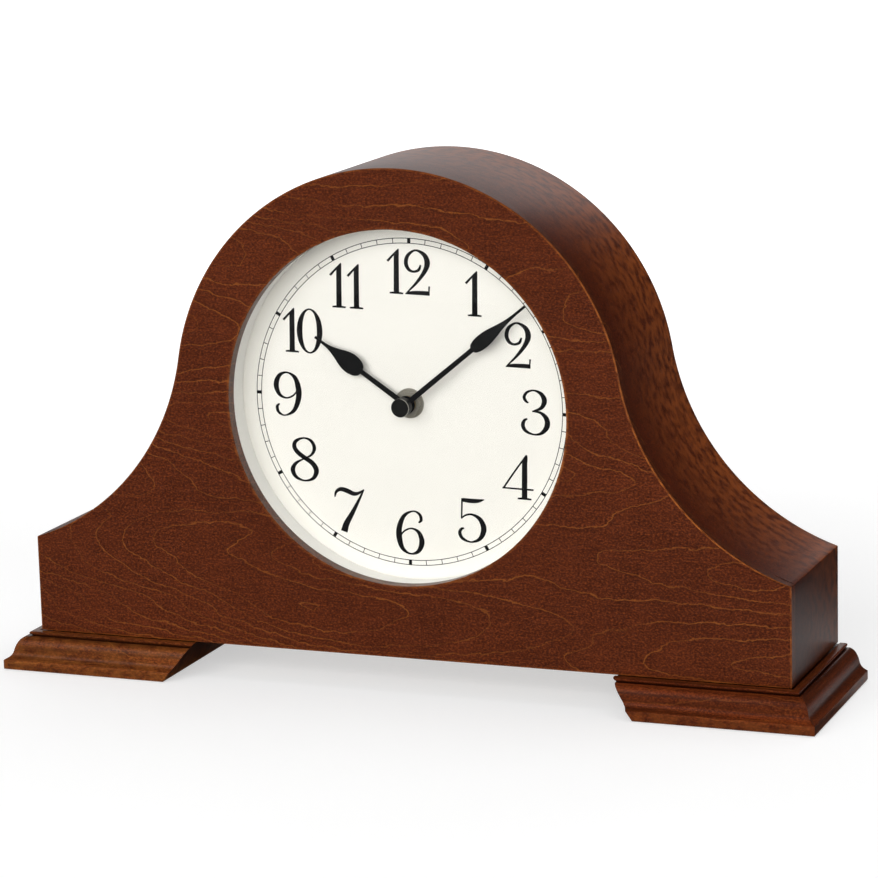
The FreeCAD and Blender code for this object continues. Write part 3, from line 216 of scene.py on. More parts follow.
# ---- arrays into meshes --------------------------------------------------------------------------
def joined(points, faces, name, material, wear=None, grain=None, smooth=True):
    """A mesh object from a point array and a list of face index arrays.

    Doubled points are merged, and the whole is turned outwards when its enclosed volume,
    the sum of the triple products of its fan triangles, comes out negative.
    """
    mesh = bpy.data.meshes.new(name)
    mesh.from_pydata(points.tolist(), [], [list(map(int, f)) for block in faces for f in block])
    if grain is not None:
        layer = mesh.attributes.new("grain", "FLOAT_VECTOR", "POINT")
        layer.data.foreach_set("vector", np.asarray(grain, np.float32).ravel())
    if wear is not None:
        layer = mesh.attributes.new("wear", "FLOAT", "POINT")
        layer.data.foreach_set("value", np.asarray(wear, np.float32).ravel())
    work = bmesh.new()
    work.from_mesh(mesh)
    bmesh.ops.remove_doubles(work, verts=work.verts, dist=1e-7)
    bmesh.ops.dissolve_degenerate(work, dist=1e-7, edges=work.edges)
    if work.calc_volume(signed=True) < 0:
        bmesh.ops.reverse_faces(work, faces=work.faces)
    work.to_mesh(mesh)
    work.free()
    mesh.validate()
    mesh.polygons.foreach_set("use_smooth", np.full(len(mesh.polygons), smooth))
    mesh.materials.append(material)
    piece = bpy.data.objects.new(name, mesh)
    bpy.context.scene.collection.objects.link(piece)
    return piece


def grid_faces(rows, columns, close_rows=False, close_columns=False, start=0):
    """Quads of a grid whose point (i, j) has index start + i * columns + j."""
    i = np.arange(rows if close_rows else rows - 1)
    j = np.arange(columns if close_columns else columns - 1)
    i, j = np.meshgrid(i, j, indexing="ij")
    i2 = (i + 1) % rows
    j2 = (j + 1) % columns
    quads = np.stack([i * columns + j, i2 * columns + j, i2 * columns + j2, i * columns + j2], -1)
    return quads.reshape(-1, 4) + start


def sharpen(piece, degrees):
    """Keeps edges over an angle crisp."""
    piece.data.set_sharp_from_angle(angle=math.radians(degrees))


def rides(piece, body, slot, *nodes):
    """Binds a piece to its body, in place of some CAD nodes; slot is not used."""
    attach(piece, body)
    if nodes:
        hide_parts(*nodes)


def lathe(name, profile, material, closed=True, turns=128, centre=None):
    """Surface of revolution about the opening's axis, or about a given centre.

    Point (i, j) is the profile's radius r_j and Y y_j turned by 2 pi i / turns. A closed profile
    makes a ring; an open one starts and ends on the axis.
    """
    profile = np.asarray(profile, float)
    angle = 2 * np.pi * np.arange(turns) / turns
    x0, z0 = centre if centre is not None else (0.0, OPENING_Z)
    points = np.empty((turns, len(profile), 3))
    points[..., 0] = x0 + np.cos(angle)[:, None] * profile[None, :, 0]
    points[..., 1] = profile[None, :, 1]
    points[..., 2] = z0 + np.sin(angle)[:, None] * profile[None, :, 0]
    faces = grid_faces(turns, len(profile), close_rows=True, close_columns=closed)
    return joined(points.reshape(-1, 3), [faces], name, material)


def eased(corner_a, corner, corner_b, radius, steps=4):
    """Points of a rounded corner: a quadratic blend from one side to the other."""
    a, c, b = (np.asarray(p, float) for p in (corner_a, corner, corner_b))
    start = c + (a - c) / np.linalg.norm(a - c) * radius
    end = c + (b - c) / np.linalg.norm(b - c) * radius
    t = np.linspace(0, 1, steps)[:, None]
    return start * (1 - t) ** 2 + 2 * c * t * (1 - t) + end * t ** 2


def eased_loop(corners, radius, steps=4):
    """A closed profile with every corner rounded."""
    count = len(corners)
    parts = [eased(corners[i - 1], corners[i], corners[(i + 1) % count], radius, steps)
             for i in range(count)]
    return np.vstack(parts)


# ---- the case's outline --------------------------------------------------------------------------
def flank_centre(case):
    """Centre of the right hollow curve: tangent to the hood and through the shoulder tip."""
    hood = np.array([0.0, CASE_TOP - case.hood_radius])
    tip = np.array([HALF_WIDTH, SHOULDER_Z])
    reach = case.hood_radius + case.flank_radius
    gap = np.linalg.norm(tip - hood)
    along = (gap ** 2 + reach ** 2 - case.flank_radius ** 2) / (2 * gap)
    aside = math.sqrt(reach ** 2 - along ** 2)
    unit = (tip - hood) / gap
    return hood + unit * along + np.array([-unit[1], unit[0]]) * aside


FAN = 5
BOTTOM_STEPS = 61
END_STEPS = 10
FLANK_STEPS = 56
HOOD_STEPS = 121


def fan(point, start, end):
    """One corner point repeated while the normal turns from start to end."""
    turn = np.linspace(0, 1, FAN)[:, None]
    a0 = math.atan2(start[1], start[0])
    a1 = math.atan2(end[1], end[0])
    angle = a0 + ((a1 - a0 + math.pi) % (2 * math.pi) - math.pi) * turn[:, 0]
    return np.repeat(np.array([point]), FAN, 0), np.stack([np.cos(angle), np.sin(angle)], 1)


def right_side(case, inset):
    """Points and outward normals from the bottom right corner up to the top of the hood.

    The end is a straight line, the flank an arc whose normals point at its centre, and the hood an
    arc whose normals point away from its centre; all are moved inwards by inset.
    """
    centre = flank_centre(case)
    hood = np.array([0.0, CASE_TOP - case.hood_radius])
    end_x = HALF_WIDTH - inset
    radius = case.flank_radius + inset
    tip = np.array([end_x, centre[1] - math.sqrt(radius ** 2 - (end_x - centre[0]) ** 2)])
    corner = np.array([end_x, CASE_LOW + inset])
    parts = [fan(corner, (0, -1), (1, 0))]
    share = np.linspace(0, 1, END_STEPS)[:, None]
    parts.append((corner * (1 - share) + tip * share, np.tile([1.0, 0.0], (END_STEPS, 1))))
    parts.append(fan(tip, (1, 0), (centre - tip) / radius))
    a0 = math.atan2(tip[1] - centre[1], tip[0] - centre[0])
    joint = hood - centre
    a1 = math.atan2(joint[1], joint[0])
    angle = a0 + ((a1 - a0 + math.pi) % (2 * math.pi) - math.pi) * np.linspace(0, 1, FLANK_STEPS)
    ray = np.stack([np.cos(angle), np.sin(angle)], 1)
    parts.append((centre + ray * radius, -ray))
    start = math.atan2(-joint[1], -joint[0])
    angle = np.linspace(start, math.pi / 2, (HOOD_STEPS + 1) // 2)
    ray = np.stack([np.cos(angle), np.sin(angle)], 1)
    parts.append((hood + ray * (case.hood_radius - inset), ray))
    return [np.vstack([p[k] for p in parts]) for k in (0, 1)]


def whole_outline(case, inset):
    """Closed outline: right side up, left side down, then the bottom."""
    points, normals = right_side(case, inset)
    flip = np.array([-1.0, 1.0])
    x = np.linspace(points[0][0] * -1, points[0][0], BOTTOM_STEPS)[1:-1]
    bottom = np.stack([x, np.full_like(x, CASE_LOW + inset)], 1)
    points = np.vstack([points, (points * flip)[::-1][1:], bottom])
    normals = np.vstack([normals, (normals * flip)[::-1][1:], np.tile([0.0, -1.0], (len(bottom), 1))])
    return points, normals


def run_length(points):
    """Distance along a line of points."""
    return np.concatenate([[0], np.cumsum(np.linalg.norm(np.diff(points, axis=0), axis=1))])


def easing_steps(radius, steps=4):
    """Share of the normal and depth of each ring that rounds an edge, from the side to the face."""
    turn = np.linspace(np.pi / 2, 0, steps)
    return np.sin(turn), radius * (1 - np.cos(turn))


def at_depth(plan, y):
    """XZ points put at one Y."""
    return np.column_stack([plan[:, 0], np.full(len(plan), y), plan[:, 1]])


# ---- materials -----------------------------------------------------------------------------------
class Shade:
    """Short calls for building one material's node tree."""

    def __init__(self, name):
        self.material = bpy.data.materials.new(name)
        self.material.use_nodes = True
        self.tree = self.material.node_tree
        self.tree.nodes.clear()
        self.out = self.tree.nodes.new("ShaderNodeOutputMaterial")
        self.surface = self.tree.nodes.new("ShaderNodeBsdfPrincipled")
        self.link(self.surface.outputs[0], self.out.inputs["Surface"])

    def link(self, source, target):
        """Joins two sockets."""
        self.tree.links.new(source, target)

    def put(self, socket, value):
        """A number, a colour or a link into a socket."""
        if isinstance(value, bpy.types.NodeSocket):
            self.link(value, socket)
        elif hasattr(value, "__len__") and len(value) == 3 and socket.type == "RGBA":
            socket.default_value = (*value, 1.0)
        else:
            socket.default_value = value

    def constant(self, **values):
        """Sets sockets of the principled shader; underscores stand for spaces."""
        for name, value in values.items():
            self.put(self.surface.inputs[name.replace("_", " ")], value)
        return self

    def attribute(self, name, output="Vector"):
        """A point attribute of the mesh."""
        node = self.tree.nodes.new("ShaderNodeAttribute")
        node.attribute_name = name
        return node.outputs[output]

    def place(self):
        """Object coordinates."""
        return self.tree.nodes.new("ShaderNodeTexCoord").outputs["Object"]

    def stretched(self, vector, scale, shift=(0, 0, 0), turn=(0, 0, 0)):
        """Scaled, turned and moved coordinates."""
        node = self.tree.nodes.new("ShaderNodeMapping")
        self.put(node.inputs["Vector"], vector)
        node.inputs["Scale"].default_value = scale
        node.inputs["Location"].default_value = shift
        node.inputs["Rotation"].default_value = turn
        return node.outputs[0]

    def noise(self, vector, scale=1.0, detail=2.0, roughness=0.5, distortion=0.0, colour=False):
        """Noise between 0 and 1."""
        node = self.tree.nodes.new("ShaderNodeTexNoise")
        self.put(node.inputs["Vector"], vector)
        for name, value in (("Scale", scale), ("Detail", detail), ("Roughness", roughness),
                            ("Distortion", distortion)):
            self.put(node.inputs[name], value)
        return node.outputs["Color" if colour else "Fac"]

    def sums(self, how, a, b=0.0, c=0.0, clamp=False):
        """One step of arithmetic."""
        node = self.tree.nodes.new("ShaderNodeMath")
        node.operation = how
        node.use_clamp = clamp
        for socket, value in zip(node.inputs, (a, b, c)):
            self.put(socket, value)
        return node.outputs[0]

    def vector_sum(self, how, a, b):
        """One step of vector arithmetic."""
        node = self.tree.nodes.new("ShaderNodeVectorMath")
        node.operation = how
        self.put(node.inputs[0], a)
        self.put(node.inputs[1], b)
        return node.outputs[0]

    def ramp(self, value, *stops):
        """Value through straight steps given as (position, result)."""
        node = self.tree.nodes.new("ShaderNodeValToRGB")
        self.put(node.inputs[0], value)
        ramp = node.color_ramp
        while len(ramp.elements) < len(stops):
            ramp.elements.new(0.5)
        for element, (position, result) in zip(ramp.elements, stops):
            element.position = position
            element.color = (result, result, result, 1) if isinstance(result, (int, float)) else (*result, 1)
        return node.outputs[0]

    def mix(self, factor, a, b, how="MIX"):
        """Two colours mixed."""
        node = self.tree.nodes.new("ShaderNodeMix")
        node.data_type = "RGBA"
        node.blend_type = how
        self.put(node.inputs["Factor"], factor)
        self.put(node.inputs["A"], a)
        self.put(node.inputs["B"], b)
        return node.outputs["Result"]

    def bump(self, height, distance, strength=1.0):
        """Surface relief of a height in metres."""
        node = self.tree.nodes.new("ShaderNodeBump")
        node.inputs["Distance"].default_value = distance
        node.inputs["Strength"].default_value = strength
        self.put(node.inputs["Height"], height)
        self.link(node.outputs[0], self.surface.inputs["Normal"])


def grain_place(s, along):
    """Object coordinates reordered so that X runs along the grain and Y across it."""
    split = s.tree.nodes.new("ShaderNodeSeparateXYZ")
    s.put(split.inputs[0], s.place())
    join = s.tree.nodes.new("ShaderNodeCombineXYZ")
    order = {(1, 0, 0): ("X", "Z", "Y"), (0, 0, 1): ("Z", "X", "Y"), (0, 1, 0): ("Y", "X", "Z")}[along]
    for socket, axis in zip(join.inputs, order):
        s.link(split.outputs[axis], socket)
    return join.outputs[0]


def growth_lines(s, grain, shift, count, stretch):
    """Signed distance, in metres, to the nearest growth line.

    The lines are even contours of a stretched noise. Its slope is taken from two neighbouring
    samples, and the contour's share is divided by count times the slope, which keeps every line
    equally thin however fast the noise changes.
    """
    step = 0.0012
    scaled = [s.stretched(s.vector_sum("ADD", grain, offset), stretch, shift)
              for offset in ((0, 0, 0), (step, 0, 0), (0, step, 0))]
    field = [s.noise(place, detail=1.6, roughness=0.42) for place in scaled]
    across = s.sums("SUBTRACT", field[2], field[0])
    along = s.sums("SUBTRACT", field[1], field[0])
    slope = s.sums("SQRT", s.sums("MULTIPLY_ADD", across, across, s.sums("MULTIPLY", along, along)))
    slope = s.sums("MAXIMUM", s.sums("DIVIDE", slope, step), 0.35)
    share = s.sums("SUBTRACT", s.sums("FRACT", s.sums("MULTIPLY", field[0], count)), 0.5)
    return s.sums("DIVIDE", share, s.sums("MULTIPLY", slope, count))


LINE_SHARPNESS = 720.0        # per metre: the pale line's width is about one part in this
SHADE_SHARPNESS = 250.0       # the same for the dark side of the line


def stained_veneer(name, seed=0.0, tone_and_painted_light=(1.0, 1.0, 1.0), figure=1.0, along=(1, 0, 0), own_grain=True,
                   wear=True, relief=1.0, lines=29.0, gloss=0.0, streak=0.0):
    """Stained and lacquered maple: fine mottle, fibres, pale growth lines with a dark side, pale edges
    (rubbed finish and painted highlight), painted shade in grooves.

    figure scales the fibres and growth lines, lines is the number of growth contours, streak the strength of
    long dark and pale streaks, and gloss the extra lacquer. The colour multiplier is a plain tone on the
    back and door, painted shade on the wrap and end boards and painted light on the feet. The attribute for
    edges and grooves is 1 where an edge is pale, from rubbed finish and a painted highlight, and -1 in a
    groove, where shade is painted in.
    """
    colours = bpy.context.scene.clock_colours
    stain, dark, pale = (list(c) for c in (colours.stain, colours.stain_dark, colours.stain_light))
    lit_stain = [c * 1.7 for c in stain]
    s = Shade(name)
    grain = s.attribute("grain") if own_grain else grain_place(s, along)
    shift = (seed * 1.7, seed * 0.9, seed * 0.3)
    swirl = s.noise(s.stretched(grain, (75, 130, 40), shift), detail=4.0, roughness=0.62, colour=True)
    drift = s.vector_sum("SUBTRACT", swirl, (0.5, 0.5, 0.5))
    wavy = s.vector_sum("ADD", grain, s.vector_sum("MULTIPLY", drift, (0.006, 0.0065, 0.0)))
    patches = s.noise(s.stretched(grain, (9, 20, 9), shift), detail=3.0, roughness=0.6)
    mottle = s.noise(s.stretched(grain, (900, 1350, 900), shift), detail=2.0, roughness=0.65)
    fibre = s.noise(s.stretched(grain, (85, 1300, 500), shift), detail=2.0, roughness=0.6)
    curl = s.noise(s.stretched(grain, (110, 26, 40), shift), detail=2.0, roughness=0.5)
    apart = growth_lines(s, wavy, shift, lines, (3.3, 15.0, 6.0))
    broken = s.ramp(s.noise(s.stretched(wavy, (22, 46, 20), shift), detail=2.0), (0.34, 0.25), (0.56, 1.0))
    line = s.ramp(s.sums("MULTIPLY_ADD", apart, LINE_SHARPNESS, 0.5),
                  (0.25, 0.0), (0.44, 1.0), (0.56, 1.0), (0.75, 0.0))
    under = s.ramp(s.sums("MULTIPLY_ADD", apart, SHADE_SHARPNESS, 0.5),
                   (0.0, 0.0), (0.24, 0.55), (0.42, 1.0), (0.5, 0.0))
    line = s.sums("MULTIPLY", s.sums("MULTIPLY", line, broken), 0.64 * figure)
    under = s.sums("MULTIPLY", s.sums("MULTIPLY", under, broken), 0.30 * figure)

    soaked_stain = [0.55 * a + 0.45 * b for a, b in zip(dark, stain)]
    base = s.mix(s.ramp(patches, (0.30, 0.0), (0.66, 1.0)), soaked_stain, stain)
    base = s.mix(s.ramp(mottle, (0.32, 0.85), (0.52, 0.0)), base, [c * 0.4 for c in dark])
    flecks = [c * k for c, k in zip(stain, (2.1, 2.5, 2.2))]
    base = s.mix(s.ramp(mottle, (0.50, 0.0), (0.70, 0.85)), base, flecks)
    base = s.mix(s.ramp(fibre, (0.35, 0.36 * figure ** 0.8), (0.52, 0.0)), base, dark)
    base = s.mix(s.ramp(fibre, (0.52, 0.0), (0.72, 0.28 * figure ** 0.8)), base, lit_stain)
    base = s.mix(s.ramp(curl, (0.46, 0.0), (0.70, 0.10)), base, lit_stain)
    if streak:
        streaks = s.noise(s.stretched(grain, (7, 330, 90), shift), detail=3.0, roughness=0.6)
        base = s.mix(s.ramp(streaks, (0.34, streak), (0.56, 0.0)), base, [c * 0.5 for c in dark])
        base = s.mix(s.ramp(streaks, (0.55, 0.0), (0.72, streak * 0.7)), base, lit_stain)
    base = s.mix(under, base, [c * 0.6 for c in dark])
    base = s.mix(line, base, pale)
    if wear:
        # Pale edges: partly rubbed finish, partly painted highlight.
        edge_noise = s.noise(s.stretched(grain, (190, 240, 240), shift), detail=3.0)
        edge_breakup = s.ramp(edge_noise, (0.36, 0.12), (0.60, 1.0))
        rubbed_and_highlit = s.sums("MULTIPLY", s.attribute("wear", "Fac"), edge_breakup, clamp=True)
        base = s.mix(rubbed_and_highlit, base, [c * 1.35 for c in pale])
        # Painted shade in the grooves, where the attribute is negative.
        groove_shade = s.sums("MULTIPLY", s.attribute("wear", "Fac"), -0.85, clamp=True)
        base = s.mix(groove_shade, base, [c * 0.25 for c in dark])
    # Colour multiplier: painted shade on the wrap and end boards, painted light on the feet, a plain tone on
    # the back and door.
    base = s.mix(1.0, base, tone_and_painted_light, "MULTIPLY")
    s.constant(Base_Color=base, Specular_IOR_Level=0.45, IOR=1.45, Coat_Weight=0.08 + gloss,
               Coat_Roughness=0.22, Coat_IOR=1.45)
    middle, spread = 0.37 - gloss * 0.2, 0.02 + 0.05 * figure
    s.constant(Roughness=s.ramp(fibre, (0.2, middle - spread), (0.8, middle + spread)))
    height = s.sums("ADD", s.sums("MULTIPLY", fibre, 0.6), s.sums("MULTIPLY", mottle, 0.4))
    s.bump(height, 0.05 * MM * relief, 0.45)
    return s.material


def plain_finish(name, colour, roughness, speckle=0.12, scale=900.0, relief=0.00002, **more):
    """A painted, moulded or turned surface with fine variation of tone, gloss and height."""
    s = Shade(name)
    place = s.place()
    fine = s.noise(place, scale=scale, detail=3.0, roughness=0.6)
    broad = s.noise(place, scale=scale / 22.0, detail=2.0)
    tone = s.ramp(s.sums("ADD", s.sums("MULTIPLY", fine, 0.6), s.sums("MULTIPLY", broad, 0.4)),
                  (0.3, 1.0 - speckle), (0.7, 1.0 + speckle * 0.6))
    s.constant(Base_Color=s.mix(1.0, colour, tone, "MULTIPLY"))
    s.constant(Roughness=s.ramp(fine, (0.25, max(roughness - 0.06, 0.02)), (0.75, roughness + 0.08)), **more)
    s.bump(fine, relief, 0.6)
    return s.material


def turned_metal(name, colour, roughness, ring_scale=2600.0, metal=1.0):
    """Metal with fine turning marks about the hands' axis."""
    s = Shade(name)
    moved = s.stretched(s.place(), (1, 0, 1), (0, 0, -HUB_Z))
    length = s.tree.nodes.new("ShaderNodeVectorMath")
    length.operation = "LENGTH"
    s.put(length.inputs[0], moved)
    radius = length.outputs["Value"]
    rings = s.noise(s.stretched(s.place(), (40, 40, 40)), scale=1.0)
    marks = s.tree.nodes.new("ShaderNodeTexNoise")
    marks.noise_dimensions = "1D"
    s.put(marks.inputs["W"], s.sums("MULTIPLY", radius, ring_scale))
    mark = marks.outputs["Fac"]
    s.constant(Base_Color=s.mix(s.ramp(mark, (0.35, 0.0), (0.7, 0.5)), colour, [c * 0.6 for c in colour]))
    s.constant(Roughness=s.ramp(s.sums("ADD", s.sums("MULTIPLY", rings, 0.4), s.sums("MULTIPLY", mark, 0.6)),
                                (0.3, roughness * 0.7), (0.7, roughness * 1.3)), Metallic=metal)
    s.bump(mark, 0.00003, 0.5)
    return s.material


def cap_black(name):
    """Black plated cap with a painted highlight on the right side of its edge."""
    s = Shade(name)
    fine = s.noise(s.place(), scale=2400.0, detail=3.0, roughness=0.6)
    split = s.tree.nodes.new("ShaderNodeSeparateXYZ")
    s.put(split.inputs[0], s.stretched(s.place(), (1, 0, 1), (0, 0, -HUB_Z)))
    across, up = split.outputs["X"], split.outputs["Z"]
    radius = s.sums("SQRT", s.sums("ADD", s.sums("MULTIPLY", across, across), s.sums("MULTIPLY", up, up)))
    outer = float(node_box("hand_cap_nut")[1][0])
    # Painted highlight: a bright band near the edge, on the right side only.
    edge = s.ramp(s.sums("DIVIDE", radius, outer), (0.93, 0.0), (0.96, 1.0), (0.985, 1.0), (0.998, 0.0))
    side = s.ramp(s.sums("MULTIPLY_ADD", across, 0.5 / outer, 0.5), (0.45, 0.0), (0.75, 1.0))
    painted_highlight = s.sums("MULTIPLY", s.sums("MULTIPLY", edge, side), s.ramp(fine, (0.3, 0.25), (0.6, 0.9)))
    s.constant(Base_Color=s.mix(painted_highlight, s.ramp(fine, (0.3, 0.005), (0.7, 0.012)), (0.5, 0.48, 0.42)),
               Roughness=s.ramp(fine, (0.3, 0.42), (0.7, 0.55)), Specular_IOR_Level=0.15)
    s.bump(fine, 0.00003, 0.6)
    return s.material


def fibreboard(name, colour):
    """Raw board: felted brown fibres and a dusty surface."""
    s = Shade(name)
    place = s.place()
    fibre = s.noise(s.stretched(place, (700, 260, 700)), detail=4.0, roughness=0.7, distortion=0.6)
    clump = s.noise(place, scale=90.0, detail=3.0)
    tone = s.ramp(s.sums("ADD", s.sums("MULTIPLY", fibre, 0.7), s.sums("MULTIPLY", clump, 0.3)),
                  (0.3, [c * 0.62 for c in colour]), (0.72, [min(c * 1.25, 1.0) for c in colour]))
    s.constant(Base_Color=tone, Roughness=s.ramp(fibre, (0.3, 0.75), (0.7, 0.95)), Specular_IOR_Level=0.25)
    s.bump(fibre, 0.00015, 0.6)
    return s.material


def dial_enamel(name):
    """Cream white printed card under a gloss coat, very slightly clouded."""
    colours = bpy.context.scene.clock_colours
    s = Shade(name)
    place = s.place()
    cloud = s.noise(place, scale=14.0, detail=2.0)
    fine = s.noise(place, scale=2600.0, detail=2.0)
    base = s.mix(s.ramp(cloud, (0.3, 0.0), (0.7, 1.0)), [c * 0.985 for c in colours.enamel], colours.enamel)
    s.constant(Base_Color=base, Roughness=s.ramp(fine, (0.3, 0.36), (0.7, 0.44)), Specular_IOR_Level=0.08)
    s.bump(fine, 0.000004, 0.4)
    return s.material


def clear_glass(name):
    """Clear glass that lets lamps reach the dial behind it."""
    s = Shade(name)
    smear = s.noise(s.stretched(s.place(), (18, 18, 26)), detail=2.0)
    s.constant(Base_Color=(0.985, 0.99, 0.985), Transmission_Weight=1.0, IOR=1.46,
               Roughness=s.ramp(smear, (0.4, 0.0), (0.7, 0.025)))
    clear = s.tree.nodes.new("ShaderNodeBsdfTransparent")
    clear.inputs[0].default_value = (0.99, 0.99, 0.985, 1)
    path = s.tree.nodes.new("ShaderNodeLightPath")
    both = s.tree.nodes.new("ShaderNodeMixShader")
    s.link(path.outputs["Is Shadow Ray"], both.inputs[0])
    s.link(s.surface.outputs[0], both.inputs[1])
    s.link(clear.outputs[0], both.inputs[2])
    s.link(both.outputs[0], s.out.inputs["Surface"])
    return s.material


def felt(name, colour):
    """Short matted wool."""
    s = Shade(name)
    hair = s.noise(s.place(), scale=1500.0, detail=4.0, roughness=0.75, distortion=1.2)
    s.constant(Base_Color=s.ramp(hair, (0.3, [c * 0.5 for c in colour]), (0.75, [c * 1.8 for c in colour])),
               Roughness=0.95, Sheen_Weight=0.6, Sheen_Roughness=0.4)
    s.bump(hair, 0.0003, 0.8)
    return s.material


def coat_nodes(material, *names):
    """Puts one material on the CAD nodes that stay."""
    for name in names:
        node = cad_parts[name]
        node.data.materials.clear()
        node.data.materials.append(material)


# ---- case ----------------------------------------------------------------------------------------
WALL_GRAIN = 0.4              # metres from the front's pattern to the pattern of the walls behind it


def front_panel_piece(case):
    """Front board with its round opening.

    Every outline sample is joined to the point of the opening that lies in the same direction from
    the opening's middle; the rings run from the back of the outer edge over the eased edge, across the
    face, over the eased rim of the opening and back through it.
    """
    ease = case.easing
    plan, normal = whole_outline(case, ease)
    back = FRONT_Y + (FRONT_HIGH[1] - FRONT_LOW[1])
    share, drop = easing_steps(ease)
    rings = [at_depth(plan + normal * ease, back), at_depth(plan + normal * ease, FRONT_Y + 2 * ease)]
    wear = [0.0, 0.0]
    rings += [at_depth(plan + normal * ease * a, FRONT_Y + d) for a, d in zip(share, drop)]
    # Eased outer edge, pale: partly rubbed finish, partly painted highlight.
    wear += [1.0] * len(share)
    middle = np.array([0.0, OPENING_Z])
    ray = plan - middle
    ray = ray / np.linalg.norm(ray, axis=1, keepdims=True)
    hole_ease = ease * 0.6
    rim = case.opening_radius + hole_ease
    for inward in (case.wear_width, 8 * case.wear_width):
        rings.append(at_depth(plan - ray * inward, FRONT_Y))
        wear.append(0.0)
    rings.append(at_depth(middle + ray * (rim + 1.2 * MM), FRONT_Y))
    wear.append(0.0)
    share, drop = easing_steps(hole_ease)
    rings += [at_depth(middle + ray * (rim - hole_ease * a), FRONT_Y + d)
              for a, d in zip(share[::-1], drop[::-1])]
    # Painted highlight on the opening's eased rim.
    wear += [0.9] * len(share)
    # Painted light: the opening's inner wall is paler all through its depth.
    rings.append(at_depth(middle + ray * case.opening_radius, FRONT_Y + 2.5 * hole_ease))
    wear.append(0.35)
    rings.append(at_depth(middle + ray * case.opening_radius, back))
    wear.append(0.35)
    points = np.stack(rings)
    outline_run = run_length(whole_outline(case, 0.0)[0])
    start_run = outline_run[np.argmax(plan[:, 1])]
    grain = np.stack([points[..., 0], points[..., 2], points[..., 1]], -1)
    wall = [0, 1, 2]          # rings on the outer edge, whose grain runs along the outline
    grain[wall, :, 0] = (outline_run - start_run)[None]
    grain[wall, :, 1] = points[wall][..., 1] + WALL_GRAIN
    wear = np.array(wear)[:, None] * edge_rub(plan)[None]
    faces = grid_faces(points.shape[0], points.shape[1], close_rows=True, close_columns=True)
    piece = joined(points.reshape(-1, 3), [faces], "front_board", stained_veneer("front_veneer", seed=0.0),
                   wear.ravel(), grain.reshape(-1, 3))
    sharpen(piece, 50)
    return piece


def edge_rub(plan):
    """How pale the edges are along the outline, from rubbed finish and a painted highlight: most on the
    right hollow curve.

    Two bell curves about the hollow curves' middles are added to an even light rub.
    """
    reach = HALF_WIDTH * 0.72
    right = np.exp(-((plan[:, 0] - reach) / (0.22 * HALF_WIDTH)) ** 2)
    left = np.exp(-((plan[:, 0] + reach) / (0.22 * HALF_WIDTH)) ** 2)
    return 0.36 + 0.64 * right * (plan[:, 1] > CASE_LOW + 10 * MM) + 0.05 * left


def shell_piece(name, case, first, last, inner_end, material):
    """A stretch of the case's skin between two samples of the right side, carried through the depth.

    The section runs from the front of the outer skin to the eased back edge, over the back rim and
    forward again along the inner skin; caps close both ends.
    """
    ease = case.easing
    plan, normal = right_side(case, ease)
    if name == "wrap":
        flip = np.array([-1.0, 1.0])
        plan = np.vstack([plan, (plan * flip)[::-1][1:]])
        normal = np.vstack([normal, (normal * flip)[::-1][1:]])
        last = len(plan) - 1 - first
    plan, normal = plan[first:last + 1], normal[first:last + 1]
    outer = plan + normal * ease
    inner = inner_end(plan, normal)
    front = FRONT_Y + float(FRONT_HIGH[1] - FRONT_LOW[1])
    share, drop = easing_steps(ease)
    rings = [at_depth(outer, front)]
    rings += [at_depth(plan + normal * ease * a, BACK_Y - d) for a, d in zip(share, drop)]
    rim_share = 0.35
    rings.append(at_depth(plan * (1 - rim_share) + inner * rim_share, BACK_Y))
    rings.append(at_depth(inner, BACK_Y))
    rings.append(at_depth(inner, front))
    points = np.stack(rings)
    run = run_length(outer)
    run = run - (run[-1] / 2 if name == "wrap" else run[-1])
    if name != "wrap":
        run = run - wrap_half_run(case)
    grain = np.empty_like(points)
    grain[..., 0] = run[None]
    grain[..., 1] = points[..., 1] + WALL_GRAIN
    grain[..., 2] = 0.0
    wear = np.zeros(points.shape[:2])
    wear[1:1 + len(share)] = 1.0
    faces = grid_faces(points.shape[0], points.shape[1], close_rows=True)
    rows, columns = points.shape[:2]
    caps = [np.arange(rows)[None] * columns, np.arange(rows)[None] * columns + columns - 1]
    piece = joined(points.reshape(-1, 3), [faces, caps[0], caps[1][:, ::-1]], name, material,
                   wear.ravel(), grain.reshape(-1, 3))
    sharpen(piece, 50)
    return piece


TIP_MIDDLE = FAN + END_STEPS + FAN // 2


def wrap_half_run(case):
    """Length of the skin from the shoulder's middle to the top of the hood."""
    plan, normal = right_side(case, case.easing)
    return run_length((plan + normal * case.easing)[TIP_MIDDLE:])[-1]


def wrap_piece(case):
    """Bent veneer from shoulder to shoulder."""
    def inner(plan, normal):
        inside, _ = right_side(case, case.wrap_thickness)
        flip = np.array([-1.0, 1.0])
        inside = np.vstack([inside, (inside * flip)[::-1][1:]])
        return inside[TIP_MIDDLE:len(inside) - TIP_MIDDLE]
    # Painted shade: the wrap's stain has less green and blue, a darker, redder copy for the light on the
    # hood.
    veneer = stained_veneer("wrap_veneer", seed=3.1, figure=0.12, lines=9.0, relief=0.3,
                            tone_and_painted_light=(1.0, 0.80, 0.72), streak=0.12)
    return shell_piece("wrap", case, TIP_MIDDLE, None, inner, veneer)


